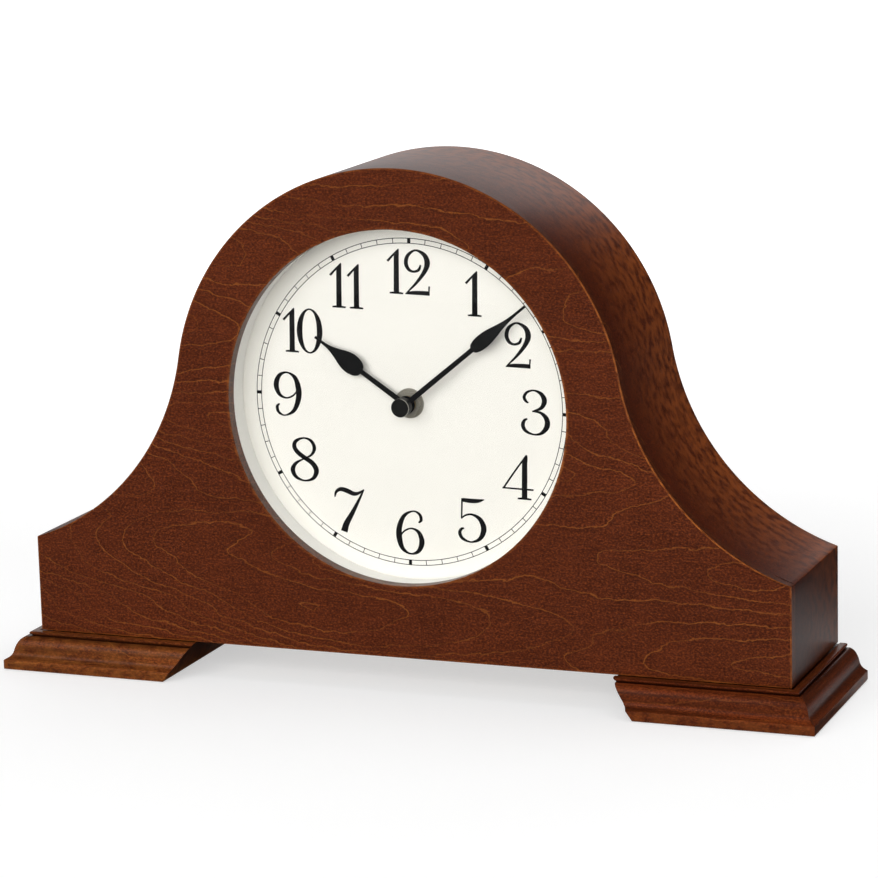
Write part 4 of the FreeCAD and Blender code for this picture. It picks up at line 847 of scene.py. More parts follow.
def end_board_piece(case, side):
    """Upright end board under the wrap's mitre."""
    def inner(plan, normal):
        inside = plan.copy()
        inside[:, 0] = HALF_WIDTH - case.end_thickness
        inside[:, 1] = np.minimum(plan[:, 1], right_side(case, case.wrap_thickness)[0][TIP_MIDDLE][1])
        return inside
    name = "end_board_" + side
    # Painted shade: the end boards' stain is darkened to about half, as they face away from the light.
    piece = shell_piece(name, case, FAN // 2, TIP_MIDDLE, inner,
                        stained_veneer(name + "_veneer", seed=3.1, figure=0.12, lines=9.0, relief=0.5,
                                       tone_and_painted_light=(0.55, 0.42, 0.37), streak=0.3))
    if side == "left":
        mirror_mesh(piece)
    return piece


def mirror_mesh(piece):
    """The same mesh on the other side of the clock, with its faces turned back outwards."""
    mesh = piece.data
    count = len(mesh.vertices)
    places = np.empty(count * 3, np.float32)
    mesh.vertices.foreach_get("co", places)
    places = places.reshape(-1, 3)
    places[:, 0] *= -1
    mesh.vertices.foreach_set("co", places.ravel())
    mesh.flip_normals()


# ---- feet ----------------------------------------------------------------------------------------
def bend(first, control, last, steps=12):
    """Quadratic curve between two points, pulled towards a control point."""
    first, control, last = (np.asarray(p, float) for p in (first, control, last))
    t = np.linspace(0, 1, steps)[:, None]
    return first * (1 - t) ** 2 + 2 * control * t * (1 - t) + last * t ** 2


GROOVE_POINTS = (11, 13, 14, 15, 16)    # profile points at the bottom of the bead's split and in the quirk


def moulding_profile(case, top, low):
    """Profile as (out, height) points: joint groove, split bead, quirk, swell, hollow, upright band."""
    band_top = low + case.band_height
    bead_low = top - case.bead_height
    bead = case.bead_projection
    quirk = bead - case.quirk_depth
    start = np.array([bead + case.quirk_width, bead_low])
    turn = start + [case.swell_width, -case.swell_height]
    shoulder = start + [case.swell_shoulder, -case.swell_dip]
    hollow = turn + (turn - shoulder) * case.hollow_pull
    soft = 0.35 * MM
    joint = [(0, top - 0.6 * MM), (0.5 * MM, top - 0.45 * MM), (0.9 * MM, top)]
    rounded = bend((bead - 1.2 * MM, top), (bead + 0.25 * MM, top - 0.1 * MM), (bead, top - 0.75 * MM), 7)
    split = [(bead, top - 0.85 * MM), (bead - 0.22 * MM, top - 1.0 * MM), (bead, top - 1.15 * MM)]
    groove = [(bead - 0.15 * MM, bead_low + 0.25 * MM), (quirk, bead_low + 0.05 * MM),
              (quirk, bead_low - 0.3 * MM), (start[0] - 0.25 * MM, bead_low - 0.42 * MM)]
    swell = bend(start + [0.25 * MM, -0.32 * MM], shoulder, turn)
    sweep = bend(turn, hollow, (case.foot_projection, band_top))[1:]
    band = np.vstack([eased(sweep[-2], (case.foot_projection, band_top), (case.foot_projection, low), soft),
                      eased((case.foot_projection, band_top), (case.foot_projection, low), (0, low), soft)])
    return np.vstack([joint, rounded, split, groove, swell, sweep[:-1], band, [(0, low)]])


def foot_piece(case, side):
    """One foot: the moulding is carried along the front and round the mitred corner to the back.

    Point (i, j) is path point i moved out by the profile's reach j; the free inner end leans, so its
    X slides between its top and bottom values with height. Four flat faces close the block.
    """
    low, high = node_box("foot_right")
    profile = moulding_profile(case, float(high[2]), float(low[2]))
    steps = 40
    share = np.linspace(0, 1, steps)[:, None]
    height = profile[:, 1] / CASE_LOW
    inner = case.foot_inner_bottom + (case.foot_inner_top - case.foot_inner_bottom) * height
    along = np.empty((steps, len(profile), 3))
    along[..., 0] = inner[None] * (1 - share) + (HALF_WIDTH + profile[None, :, 0]) * share
    along[..., 1] = FRONT_Y - profile[None, :, 0]
    along[..., 2] = profile[None, :, 1]
    across = np.empty((steps, len(profile), 3))
    across[..., 0] = HALF_WIDTH + profile[None, :, 0]
    across[..., 1] = (FRONT_Y - profile[None, :, 0]) * (1 - share) + BACK_Y * share
    across[..., 2] = profile[None, :, 1]
    profile_run = run_length(profile)
    grain_a = np.stack([along[..., 0], np.broadcast_to(profile_run, along.shape[:2]) + 0.1,
                        np.zeros(along.shape[:2])], -1)
    grain_b = np.stack([across[..., 1] + 1.0, np.broadcast_to(profile_run, across.shape[:2]) + 0.3,
                        np.zeros(across.shape[:2])], -1)
    columns = len(profile)
    faces = [grid_faces(steps, columns), grid_faces(steps, columns, start=steps * columns)]
    back_top = [inner[0], BACK_Y, profile[0, 1]]
    back_low = [inner[-1], BACK_Y, profile[-1, 1]]
    points = np.vstack([along.reshape(-1, 3), across.reshape(-1, 3), [back_top, back_low]])
    grain = np.vstack([grain_a.reshape(-1, 3), grain_b.reshape(-1, 3), [[0, 0, 0], [0.1, 0, 0]]])
    top, bottom = len(points) - 2, len(points) - 1
    start = steps * columns
    end_row = start + (steps - 1) * columns
    column = np.arange(columns)
    front_top = np.arange(steps) * columns
    side_top = start + np.arange(steps) * columns
    faces += [[np.concatenate([column[::-1], [top, bottom]])],
              [np.concatenate([end_row + column, [bottom, top]])],
              [np.concatenate([front_top, side_top[1:], [top]])],
              [np.concatenate([front_top + columns - 1, side_top[1:] + columns - 1, [bottom]])[::-1]]]
    wear = np.zeros(len(points))
    # Sharp bends of the profile are pale: partly rubbed finish, partly painted highlight.
    bending = np.abs(np.gradient(np.gradient(profile, axis=0), axis=0)).sum(axis=1)
    crisp = np.clip(bending / bending.max() * 2.0, 0, 1)
    # The joint groove and the quirk get painted shade.
    sunk = np.isin(column, [0, 1, *GROOVE_POINTS])
    swell = (column > max(GROOVE_POINTS)) & (profile[:, 1] > float(low[2]) + case.band_height)
    # Painted highlight on the swell, strong on the left foot, faint on the right.
    swell_highlight = np.where(swell, 0.13 if side == "left" else 0.03, 0.0)
    wear[:2 * steps * columns] = np.tile(np.where(sunk, -1.0, np.maximum(crisp * 0.6, swell_highlight)), 2 * steps)
    # Painted light: both feet's stain is lighter than the case's, the left foot's most.
    piece = joined(points, faces, "foot_moulding_" + side,
                   stained_veneer("foot_" + side + "_stain", figure=0.4, gloss=0.04, streak=0.8,
                                  seed=6.0 if side == "right" else 8.5,
                                  tone_and_painted_light=(1.15, 1.08, 1.0) if side == "right" else (1.5, 1.75, 1.6)),
                   wear, grain)
    if side == "left":
        mirror_mesh(piece)
    sharpen(piece, 28)
    return piece


# ---- glass and dial ------------------------------------------------------------------------------
def glass_piece(dial):
    """Domed glass: a spherical cap of even thickness with a ground edge."""
    sphere = (dial.glass_radius ** 2 + dial.glass_rise ** 2) / (2 * dial.glass_rise)
    front_rim = float(node_box("glass_lens")[1][1]) - dial.glass_thickness
    ground = 0.3 * MM
    radius = np.linspace(0, dial.glass_radius - ground, 40)
    rise = np.sqrt(sphere ** 2 - radius ** 2) - math.sqrt(sphere ** 2 - dial.glass_radius ** 2)
    front = np.stack([radius, front_rim - rise], 1)
    back = front[::-1] + [0, dial.glass_thickness]
    edge = [[dial.glass_radius, front_rim + ground],
            [dial.glass_radius, front_rim + dial.glass_thickness - ground]]
    return lathe("domed_glass", np.vstack([front, edge, back]), clear_glass("clock_glass"), closed=False,
                 turns=160)


def spacer_piece(dial):
    """White ring between glass and dial."""
    low, high = node_box("dial_spacer_ring")
    outer = float(high[0])
    corners = [(dial.spacer_bore, low[1]), (outer, low[1]), (outer, high[1]), (dial.spacer_bore, high[1])]
    finish = plain_finish("spacer_white", (0.93, 0.925, 0.90), 0.45, speckle=0.02, scale=1200.0)
    return lathe("white_spacer", eased_loop(corners, 0.4 * MM), finish, turns=180)


def dial_piece():
    """Dial plate: a disc turned about its own middle, with a hole wide enough for the bushing below it."""
    low, high = node_box("dial_plate")
    outer = float(high[0])
    bore = 4.9 * MM
    corners = [(bore, low[1]), (outer, low[1]), (outer, high[1]), (bore, high[1])]
    loop = eased_loop(corners, 0.15 * MM)
    return lathe("dial_face", loop, dial_enamel("dial_cream"), turns=180)


# Strokes of the numerals: (x, y, half width) along each pen line, in shares of the numeral's height.
STROKES = {
    "1": [[(0.0, 0.02, 0.058), (0.0, 0.5, 0.056), (0.0, 0.86, 0.055)],
          [(0.0, 0.80, 0.056), (0.024, 0.90, 0.034), (0.045, 0.99, 0.010)],
          [(0.045, 0.975, 0.020), (-0.07, 0.85, 0.022), (-0.19, 0.71, 0.026)],
          [(-0.145, 0.022, 0.018), (0.0, 0.030, 0.026), (0.145, 0.022, 0.018)]],
    "2": [[(0.345, 0.665, 0.018), (0.30, 0.555, 0.030), (0.19, 0.512, 0.026), (0.085, 0.56, 0.036),
           (0.03, 0.70, 0.043), (0.08, 0.87, 0.036), (0.24, 0.978, 0.022), (0.42, 0.89, 0.046),
           (0.485, 0.72, 0.060), (0.43, 0.53, 0.046), (0.26, 0.28, 0.030), (0.04, 0.035, 0.014)],
          [(0.015, 0.020, 0.012), (0.14, 0.046, 0.038), (0.33, 0.055, 0.046), (0.535, 0.055, 0.048)],
          [(0.522, 0.02, 0.014), (0.522, 0.12, 0.016), (0.526, 0.21, 0.020)]],
    "3": [[(0.16, 0.70, 0.018), (0.105, 0.74, 0.030), (0.07, 0.82, 0.033), (0.13, 0.93, 0.028),
           (0.28, 0.98, 0.020), (0.43, 0.91, 0.042), (0.495, 0.77, 0.055), (0.43, 0.61, 0.038),
           (0.24, 0.515, 0.015)],
          [(0.24, 0.525, 0.015), (0.42, 0.50, 0.030), (0.54, 0.38, 0.052), (0.55, 0.21, 0.056),
           (0.44, 0.06, 0.036), (0.28, 0.018, 0.020), (0.11, 0.08, 0.034), (0.045, 0.20, 0.042),
           (0.075, 0.31, 0.032), (0.14, 0.355, 0.018)]],
    "4": [[(0.47, 0.02, 0.058), (0.47, 0.5, 0.058), (0.47, 0.84, 0.056)],
          [(0.472, 0.80, 0.054), (0.50, 0.92, 0.034), (0.515, 0.995, 0.010)],
          [(0.02, 0.225, 0.020), (0.24, 0.58, 0.019), (0.505, 0.985, 0.018)],
          [(0.0, 0.235, 0.018), (0.33, 0.235, 0.019), (0.66, 0.235, 0.020)],
          [(0.325, 0.022, 0.018), (0.47, 0.030, 0.026), (0.615, 0.022, 0.018)]],
    "5": [[(0.085, 0.945, 0.040), (0.25, 0.935, 0.050), (0.42, 0.945, 0.042), (0.56, 0.985, 0.010)],
          [(0.085, 0.975, 0.018), (0.080, 0.75, 0.018), (0.075, 0.525, 0.016)],
          [(0.068, 0.525, 0.012), (0.16, 0.605, 0.020), (0.30, 0.632, 0.024), (0.47, 0.54, 0.046),
           (0.55, 0.33, 0.060), (0.47, 0.11, 0.042), (0.28, 0.018, 0.020), (0.10, 0.08, 0.034),
           (0.035, 0.20, 0.036), (0.07, 0.29, 0.030), (0.13, 0.315, 0.018)]],
    "6": [[(0.485, 0.725, 0.016), (0.54, 0.80, 0.034), (0.50, 0.925, 0.030), (0.36, 0.978, 0.018),
           (0.17, 0.86, 0.040), (0.068, 0.60, 0.058), (0.065, 0.35, 0.062), (0.14, 0.12, 0.044),
           (0.31, 0.018, 0.020), (0.48, 0.09, 0.042), (0.555, 0.30, 0.058), (0.49, 0.51, 0.040),
           (0.34, 0.588, 0.020), (0.19, 0.53, 0.020), (0.09, 0.41, 0.014)]],
    "7": [[(0.02, 0.765, 0.014), (0.05, 0.88, 0.030), (0.15, 0.950, 0.046), (0.29, 0.925, 0.054),
           (0.43, 0.872, 0.048), (0.545, 0.895, 0.032), (0.665, 0.985, 0.010)],
          [(0.655, 0.975, 0.016), (0.545, 0.73, 0.030), (0.40, 0.43, 0.048), (0.275, 0.19, 0.064),
           (0.22, 0.0, 0.074)]],
    "8": [[(0.30, 0.980, 0.020), (0.13, 0.905, 0.038), (0.085, 0.78, 0.046), (0.16, 0.65, 0.050),
           (0.31, 0.54, 0.050), (0.48, 0.43, 0.054), (0.57, 0.27, 0.056), (0.50, 0.09, 0.038),
           (0.31, 0.020, 0.020), (0.12, 0.09, 0.038), (0.048, 0.25, 0.050), (0.12, 0.40, 0.034),
           (0.29, 0.51, 0.018), (0.46, 0.61, 0.026), (0.53, 0.77, 0.040), (0.46, 0.925, 0.034),
           (0.30, 0.980, 0.020)]],
    "0": [],
}
DIGIT_WIDTH = {"1": 0.30, "2": 0.55, "3": 0.60, "4": 0.66, "5": 0.60, "6": 0.61, "7": 0.67, "8": 0.62,
               "9": 0.61, "0": 0.56}


def zero_stroke():
    """The nought: an ellipse whose pen is broad at its sides and fine above and below."""
    turn = np.linspace(0, 2 * np.pi, 13)
    half = 0.018 + 0.044 * np.cos(turn) ** 2
    return np.stack([0.28 + 0.22 * np.cos(turn), 0.5 + 0.482 * np.sin(turn), half], 1)


def pen_lines(digit):
    """Strokes of a digit; the 9 is the 6 turned half round."""
    if digit == "0":
        return [zero_stroke()]
    if digit == "9":
        turned = [np.array(line) for line in STROKES["6"]]
        return [np.column_stack([DIGIT_WIDTH["9"] - line[:, 0], 1.0 - line[:, 1], line[:, 2]])
                for line in turned]
    return [np.array(line) for line in STROKES[digit]]


def smooth_line(points, steps=9):
    """Catmull-Rom curve through the points: each span blends its two neighbours' chords."""
    closed = np.allclose(points[0], points[-1]) and len(points) > 4
    before = points[-2] if closed else 2 * points[0] - points[1]
    after = points[1] if closed else 2 * points[-1] - points[-2]
    p = np.vstack([before, points, after])
    t = np.linspace(0, 1, steps, endpoint=False)[None, :, None]
    p0, p1, p2, p3 = (p[k:len(p) - 3 + k][:, None] for k in range(4))
    spans = 0.5 * (2 * p1 + (p2 - p0) * t + (2 * p0 - 5 * p1 + 4 * p2 - p3) * t ** 2
                   + (3 * p1 - p0 - 3 * p2 + p3) * t ** 3)
    return np.vstack([spans.reshape(-1, p.shape[1]), points[-1:]])


def ribbon(line):
    """Left and right edge of a pen line: the centre moved by its half width along its normal."""
    centre = line[:, :2]
    run = np.gradient(centre, axis=0)
    if np.allclose(line[0], line[-1]):
        run[0] = run[-1] = centre[1] - centre[-2]
    run /= np.linalg.norm(run, axis=1, keepdims=True)
    normal = np.stack([-run[:, 1], run[:, 0]], 1) * line[:, 2:3]
    return centre + normal, centre - normal


def flat_strip(left, right, y_face, thickness):
    """A printed strip as a thin closed body: its section is a rectangle carried along the strip."""
    rows = len(left)
    points = np.stack([at_depth(left, y_face), at_depth(left, y_face - thickness),
                       at_depth(right, y_face - thickness), at_depth(right, y_face)], 1)
    faces = [grid_faces(rows, 4, close_columns=True), [np.arange(4)], [np.arange(4)[::-1] + 4 * (rows - 1)]]
    return points.reshape(-1, 3), faces


def gather(bodies):
    """Several point and face lists as one."""
    points, faces, start = [], [], 0
    for body_points, body_faces in bodies:
        points.append(body_points)
        faces += [np.asarray(block) + start for block in body_faces]
        start += len(body_points)
    return np.vstack(points), faces


def turned_flat(plan, angle):
    """XZ plan turned clockwise, as seen from the front."""
    cos, sin = math.cos(angle), math.sin(angle)
    return np.stack([plan[..., 0] * cos + plan[..., 1] * sin, -plan[..., 0] * sin + plan[..., 1] * cos], -1)


def numerals_piece(dial):
    """The twelve upright numerals, each drawn with pen lines round its place on the circle."""
    bodies = []
    height = dial.numeral_height
    slack = (dial.numeral_stretch - 1) / 2
    for hour in range(1, 13):
        text = str(hour)
        direction = math.radians(30 * hour)
        middle = dial.numeral_radius * np.array([math.sin(direction), math.cos(direction)])
        for digit, shift in zip(text, digit_places(text)):
            for k, line in enumerate(pen_lines(digit)):
                left, right = ribbon(smooth_line(line))
                pair = []
                for side in (left, right):
                    plan = side * [dial.numeral_stretch, 1.0] + [shift - slack * DIGIT_WIDTH[digit], -0.5]
                    plan = plan * height + middle
                    pair.append(turned_flat(plan, dial.dial_turn) + [0, HUB_Z])
                lift = dial.ink_thickness * (1 + 0.04 * k)
                bodies.append(flat_strip(pair[0], pair[1], DIAL_Y, lift))
    points, faces = gather(bodies)
    return joined(points, faces, "numerals", ink_finish("numeral_ink"), smooth=False)


def digit_places(text):
    """X of each digit's own zero, so that the whole numeral is centred."""
    if text == "1":
        return [0.08]
    if text in ("10", "11", "12"):
        second = {"10": (0.56, 0.125), "11": (0.0, 0.41), "12": (0.55, 0.20)}[text]
        left = -0.19
        right = second[1] + (second[0] if text != "11" else 0.145)
        shift = -(left + right) / 2
        return [shift, shift + second[1]]
    return [-DIGIT_WIDTH[text] / 2]


def ink_finish(name):
    """Dense black screen ink with a soft gloss."""
    return plain_finish(name, tuple(bpy.context.scene.clock_colours.ink), 0.42, speckle=0.10, scale=3000.0,
                        relief=0.000003, Specular_IOR_Level=0.02)


def ring_strip(radius, width, steps=361):
    """Both edges of a thin circle about the dial's middle."""
    turn = np.linspace(0, 2 * np.pi, steps)
    ray = np.stack([np.sin(turn), np.cos(turn)], 1)
    return [ray * (radius + side * width / 2) + [0, HUB_Z] for side in (1, -1)]


def track_piece(dial):
    """Minute track: two hair-line circles, sixty cross lines and twelve solid blocks."""
    half = dial.track_width / 2
    bodies = [flat_strip(*ring_strip(dial.track_radius + side * half, dial.line_width), DIAL_Y,
                         dial.ink_thickness) for side in (1, -1)]
    for minute in range(60):
        wide = dial.line_width * (4.6 if minute % 5 == 0 else 1.0)
        edge = np.array([[wide / 2, -half], [wide / 2, half]]) + [0, dial.track_radius]
        other = edge * [-1, 1]
        angle = math.radians(6 * minute) + dial.dial_turn
        pair = [turned_flat(side, angle) + [0, HUB_Z] for side in (edge, other)]
        bodies.append(flat_strip(*pair, DIAL_Y, dial.ink_thickness * 1.05))
    points, faces = gather(bodies)
    return joined(points, faces, "minute_track", ink_finish("track_ink"), smooth=False)


# ---- hands ---------------------------------------------------------------------------------------
ARM_TAPER = 0.85              # arm's width at the leaf, as a share of its width at the hub
LEAF_POWER = 4.2              # how fast a leaf thins towards its tip
ARM_STEPS = 12
HAND_BORE = 1.0 * MM


def hand_piece(name, node, length, leaf_start, leaf_widest, leaf_width, angle, hands, material):
    """One hand: half widths along its length, with a rounded section, and a round boss.

    The arm narrows evenly, the leaf swells as a quarter ellipse and thins as a cosine to a power;
    across, the section rises from both edges to a flat top.
    """
    low, high = node_box(node)
    front, back = float(low[1]), float(high[1])
    arm = hands.arm_width / 2
    neck = arm * ARM_TAPER
    leaf = leaf_width / 2
    tip = hands.tip_width / 2
    share = np.linspace(0, 1, 28)
    run = np.concatenate([np.linspace(0, leaf_start, ARM_STEPS)[:-1],
                          leaf_start + (leaf_widest - leaf_start) * share[:-1],
                          leaf_widest + (length - leaf_widest) * share])
    width = np.concatenate([np.linspace(arm, neck, ARM_STEPS)[:-1],
                            neck + (leaf - neck) * np.sqrt(1 - (1 - share[:-1]) ** 2),
                            tip + (leaf - tip) * np.cos(np.pi / 2 * share) ** LEAF_POWER])
    soft = 0.16 * MM
    across = [(-1, 0, back), (-1, 0, front + soft), (-1, soft, front), (1, -soft, front),
              (1, 0, front + soft), (1, 0, back)]
    rings = []
    for side, inward, y in across:
        plan = np.stack([side * width + inward, run], 1)
        plan = turned_flat(plan, angle) + [0, HUB_Z]
        rings.append(at_depth(plan, y))
    points = np.stack(rings, 1)
    rows, sides = len(run), np.arange(len(across))
    faces = [grid_faces(rows, len(across), close_columns=True), [sides],
             [sides[::-1] + len(across) * (rows - 1)]]
    turns = 64
    turn = 2 * np.pi * np.arange(turns) / turns
    loop = eased_loop([(HAND_BORE, front), (hands.boss_radius, front), (hands.boss_radius, back),
                       (HAND_BORE, back)], 0.15 * MM)
    boss = np.empty((turns, len(loop), 3))
    boss[..., 0] = np.cos(turn)[:, None] * loop[None, :, 0]
    boss[..., 1] = loop[None, :, 1] - 0.01 * MM
    boss[..., 2] = HUB_Z + np.sin(turn)[:, None] * loop[None, :, 0]
    boss_faces = grid_faces(turns, len(loop), close_rows=True, close_columns=True)
    points, faces = gather([(points.reshape(-1, 3), faces), (boss.reshape(-1, 3), [boss_faces])])
    piece = joined(points, faces, name, material)
    sharpen(piece, 30)
    return piece


def cap_piece(material):
    """Round closed cap nut: a short cylinder with an eased face and a shallow dish."""
    low, high = node_box("hand_cap_nut")
    radius = float(high[0])
    front, back = float(low[1]), float(high[1])
    rim = eased((radius * 0.5, front), (radius, front), (radius, back), 0.5 * MM, 6)
    foot = eased((radius, front), (radius, back), (0, back), 0.2 * MM, 4)
    face = [(0.0, front + 0.12 * MM), (radius * 0.45, front + 0.10 * MM), (radius * 0.8, front + 0.02 * MM)]
    profile = np.vstack([face, rim, foot, [(0.0, back)]])
    piece = lathe("cap_nut", profile, material, closed=False, turns=96, centre=(0.0, HUB_Z))
    sharpen(piece, 40)
    return piece


# ---- operators -----------------------------------------------------------------------------------
class CLOCK_OT_case(bpy.types.Operator):
    """Builds the veneered front board, wrap and end boards"""
    bl_idname = "clock.case"
    bl_label = "Case"

    def execute(self, context):
        case = context.scene.clock_case
        rides(front_panel_piece(case), "case", "stained_wood", "front_panel")
        rides(wrap_piece(case), "case", "stained_wood", "hood_wrap")
        for side in ("right", "left"):
            rides(end_board_piece(case, side), "case", "stained_wood", "end_board_" + side)
        return {"FINISHED"}


class CLOCK_OT_feet(bpy.types.Operator):
    """Builds both moulded feet"""
    bl_idname = "clock.feet"
    bl_label = "Feet"

    def execute(self, context):
        case = context.scene.clock_case
        for side in ("right", "left"):
            rides(foot_piece(case, side), "case", "stained_wood", "foot_" + side)
        coat_nodes(felt("pad_felt", (0.03, 0.06, 0.035)), "felt_pads")
        return {"FINISHED"}


class CLOCK_OT_dial(bpy.types.Operator):
    """Builds the glass, the white ring and the dial plate"""
    bl_idname = "clock.dial"
    bl_label = "Dial and glass"

    def execute(self, context):
        dial = context.scene.clock_dial
        rides(glass_piece(dial), "case", "clear_glass", "glass_lens")
        rides(spacer_piece(dial), "case", "white_plastic", "dial_spacer_ring")
        rides(dial_piece(), "case", "painted_dial", "dial_plate")
        return {"FINISHED"}


class CLOCK_OT_print(bpy.types.Operator):
    """Prints the numerals and the minute track on the dial"""
    bl_idname = "clock.dial_print"
    bl_label = "Dial print"

    def execute(self, context):
        dial = context.scene.clock_dial
        rides(numerals_piece(dial), "case", "black_enamel")
        rides(track_piece(dial), "case", "black_enamel")
        return {"FINISHED"}


class CLOCK_OT_hands(bpy.types.Operator):
    """Builds both hands and the cap, and finishes the nut and washer under them"""
    bl_idname = "clock.hands"
    bl_label = "Hands"

    def execute(self, context):
        hands = context.scene.clock_hands
        black = plain_finish("hand_black", (0.007, 0.007, 0.0075), 0.34, speckle=0.2, scale=1600.0,
                             Specular_IOR_Level=0.10)
        hour = hand_piece("hour_pointer", "hour_hand", hands.hour_length, hands.hour_leaf_start,
                          hands.hour_leaf_widest, hands.hour_leaf, hands.hour_turn, hands, black)
        minute = hand_piece("minute_pointer", "minute_hand", hands.minute_length, hands.minute_leaf_start,
                            hands.minute_leaf_widest, hands.minute_leaf, hands.minute_turn, hands, black)
        rides(hour, "hour_hand_group", "black_enamel", "hour_hand")
        rides(minute, "minute_hand_group", "black_enamel", "minute_hand")
        rides(cap_piece(cap_black("cap_black")), "minute_hand_group", "black_enamel", "hand_cap_nut")
        coat_nodes(turned_metal("nut_nickel", (0.42, 0.395, 0.335), 0.5, metal=0.5), "mounting_nut",
                   "dial_washer")
        coat_nodes(turned_metal("hub_brass", (0.62, 0.45, 0.22), 0.3), "threaded_bushing")
        coat_nodes(turned_metal("arbor_steel", (0.5, 0.5, 0.5), 0.3), "minute_arbor")
        return {"FINISHED"}


class CLOCK_OT_back(bpy.types.Operator):
    """Finishes the back panel, the door and their brass and steel"""
    bl_idname = "clock.back"
    bl_label = "Back and door"

    def execute(self, context):
        panel = stained_veneer("back_veneer", seed=11.0, figure=0.9, own_grain=False, wear=False,
                               tone_and_painted_light=(0.8, 0.8, 0.8))
        coat_nodes(panel, "back_panel")
        coat_nodes(stained_veneer("door_veneer", seed=14.0, figure=1.0, own_grain=False, wear=False,
                                  tone_and_painted_light=(0.9, 0.9, 0.9), along=(0, 0, 1)), "back_door")
        coat_nodes(fibreboard("raw_board", (0.33, 0.22, 0.13)), "bottom_board", "rear_former",
                   "dial_mounting_ring", "dial_backboard")
        brass = plain_finish("lacquered_brass", (0.70, 0.48, 0.20), 0.26, speckle=0.14, scale=420.0,
                             relief=0.00001, Metallic=1.0)
        coat_nodes(brass, "hinge_leaves_case", "hinge_leaves_door", "hinge_pins", "hinge_screws_case",
                   "hinge_screws_door", "door_pull")
        steel = plain_finish("zinc_steel", (0.52, 0.53, 0.55), 0.34, speckle=0.16, scale=500.0,
                             relief=0.00001, Metallic=1.0)
        coat_nodes(steel, "back_panel_screws", "foot_screws", "catch_plate", "dial_screws",
                   "movement_case_screws", "motor_stator", "quartz_crystal", "battery_spring",
                   "battery_contact", "speaker_frame")
        return {"FINISHED"}


class CLOCK_OT_movement(bpy.types.Operator):
    """Finishes the movement inside the case"""
    bl_idname = "clock.movement"
    bl_label = "Movement"

    def execute(self, context):
        black = plain_finish("moulded_black", (0.022, 0.022, 0.024), 0.5, speckle=0.22, scale=2200.0,
                             relief=0.00004)
        coat_nodes(black, "movement_front_case", "movement_rear_case", "setting_knob", "volume_slider",
                   "chime_selector", "catch_magnet", "chime_chip")
        acetal = plain_finish("acetal_white", (0.80, 0.78, 0.70), 0.38, speckle=0.04, Subsurface_Weight=0.1)
        coat_nodes(acetal, "hour_wheel", "motion_wheel", "centre_wheel", "third_wheel", "seconds_wheel",
                   "intermediate_wheel", "gear_plate")
        coat_nodes(plain_finish("ferrite_grey", (0.05, 0.05, 0.055), 0.6, speckle=0.3), "motor_rotor",
                   "speaker_magnet")
        coat_nodes(plain_finish("enamelled_copper", (0.45, 0.15, 0.05), 0.3, speckle=0.35, scale=3000.0,
                                relief=0.00006, Metallic=0.8), "motor_coil")
        coat_nodes(plain_finish("board_green", (0.02, 0.12, 0.05), 0.35, speckle=0.3, scale=260.0),
                   "circuit_board")
        coat_nodes(plain_finish("cell_sleeve", (0.03, 0.03, 0.035), 0.22, speckle=0.1, scale=300.0,
                                Coat_Weight=0.3), "battery")
        coat_nodes(plain_finish("rubber_black", (0.02, 0.02, 0.02), 0.8, speckle=0.25), "rubber_washer")
        coat_nodes(felt("cone_paper", (0.035, 0.032, 0.03)), "speaker_cone")
        return {"FINISHED"}


class CLOCK_OT_stage(bpy.types.Operator):
    """Sets the pale floor, the soft lamps and the camera"""
    bl_idname = "clock.stage"
    bl_label = "Stage"

    def execute(self, context):
        stage = context.scene.clock_stage
        floor_and_backdrop()
        lamps()
        camera(context.scene, stage)
        context.scene.view_settings.view_transform = "Standard"
        return {"FINISHED"}


def floor_and_backdrop():
    """A pale floor that sweeps up behind: depth and height follow a quarter circle."""
    x = np.linspace(-4.0, 4.0, 9)
    turn = np.linspace(0, np.pi / 2, 24)
    radius, reach, rise = 1.2, 2.2, 4.0
    y = np.concatenate([[-4.0, 0.0], reach + radius * np.sin(turn), [reach + radius]])
    z = np.concatenate([[0.0, 0.0], radius * (1 - np.cos(turn)), [rise]])
    grid = np.stack(np.broadcast_arrays(x[:, None], y[None], z[None]), -1)
    s = Shade("floor_white")
    grainy = s.noise(s.place(), scale=300.0)
    path = s.tree.nodes.new("ShaderNodeLightPath")
    split = s.tree.nodes.new("ShaderNodeSeparateXYZ")
    s.put(split.inputs[0], s.place())
    depth = split.outputs["Y"]
    sheen = s.ramp(depth, (0.0, 0.90), (0.04, 0.0), (0.12, 0.1), (0.22, 0.95))
    near = s.sums("SUBTRACT", 1.0, s.sums("MULTIPLY", path.outputs["Is Glossy Ray"], sheen))
    tone = s.ramp(grainy, (0.3, 0.585), (0.7, 0.605))
    glow = s.sums("MULTIPLY_ADD", s.ramp(s.sums("MULTIPLY", depth, 0.3), (0.05, 0.0), (0.6, 1.0)), 0.6, 0.49)
    s.constant(Base_Color=s.mix(1.0, tone, s.mix(near, (0, 0, 0), (1, 1, 1)), "MULTIPLY"), Roughness=0.85,
               Specular_IOR_Level=0.0, Emission_Color=(1.0, 1.0, 1.0),
               Emission_Strength=s.sums("MULTIPLY", path.outputs["Is Camera Ray"], glow))
    mesh = bpy.data.meshes.new("floor")
    mesh.from_pydata(grid.reshape(-1, 3).tolist(), [], grid_faces(len(x), len(y))[:, ::-1].tolist())
    mesh.polygons.foreach_set("use_smooth", np.full(len(mesh.polygons), True))
    mesh.materials.append(s.material)
    floor = bpy.data.objects.new("floor", mesh)
    bpy.context.scene.collection.objects.link(floor)


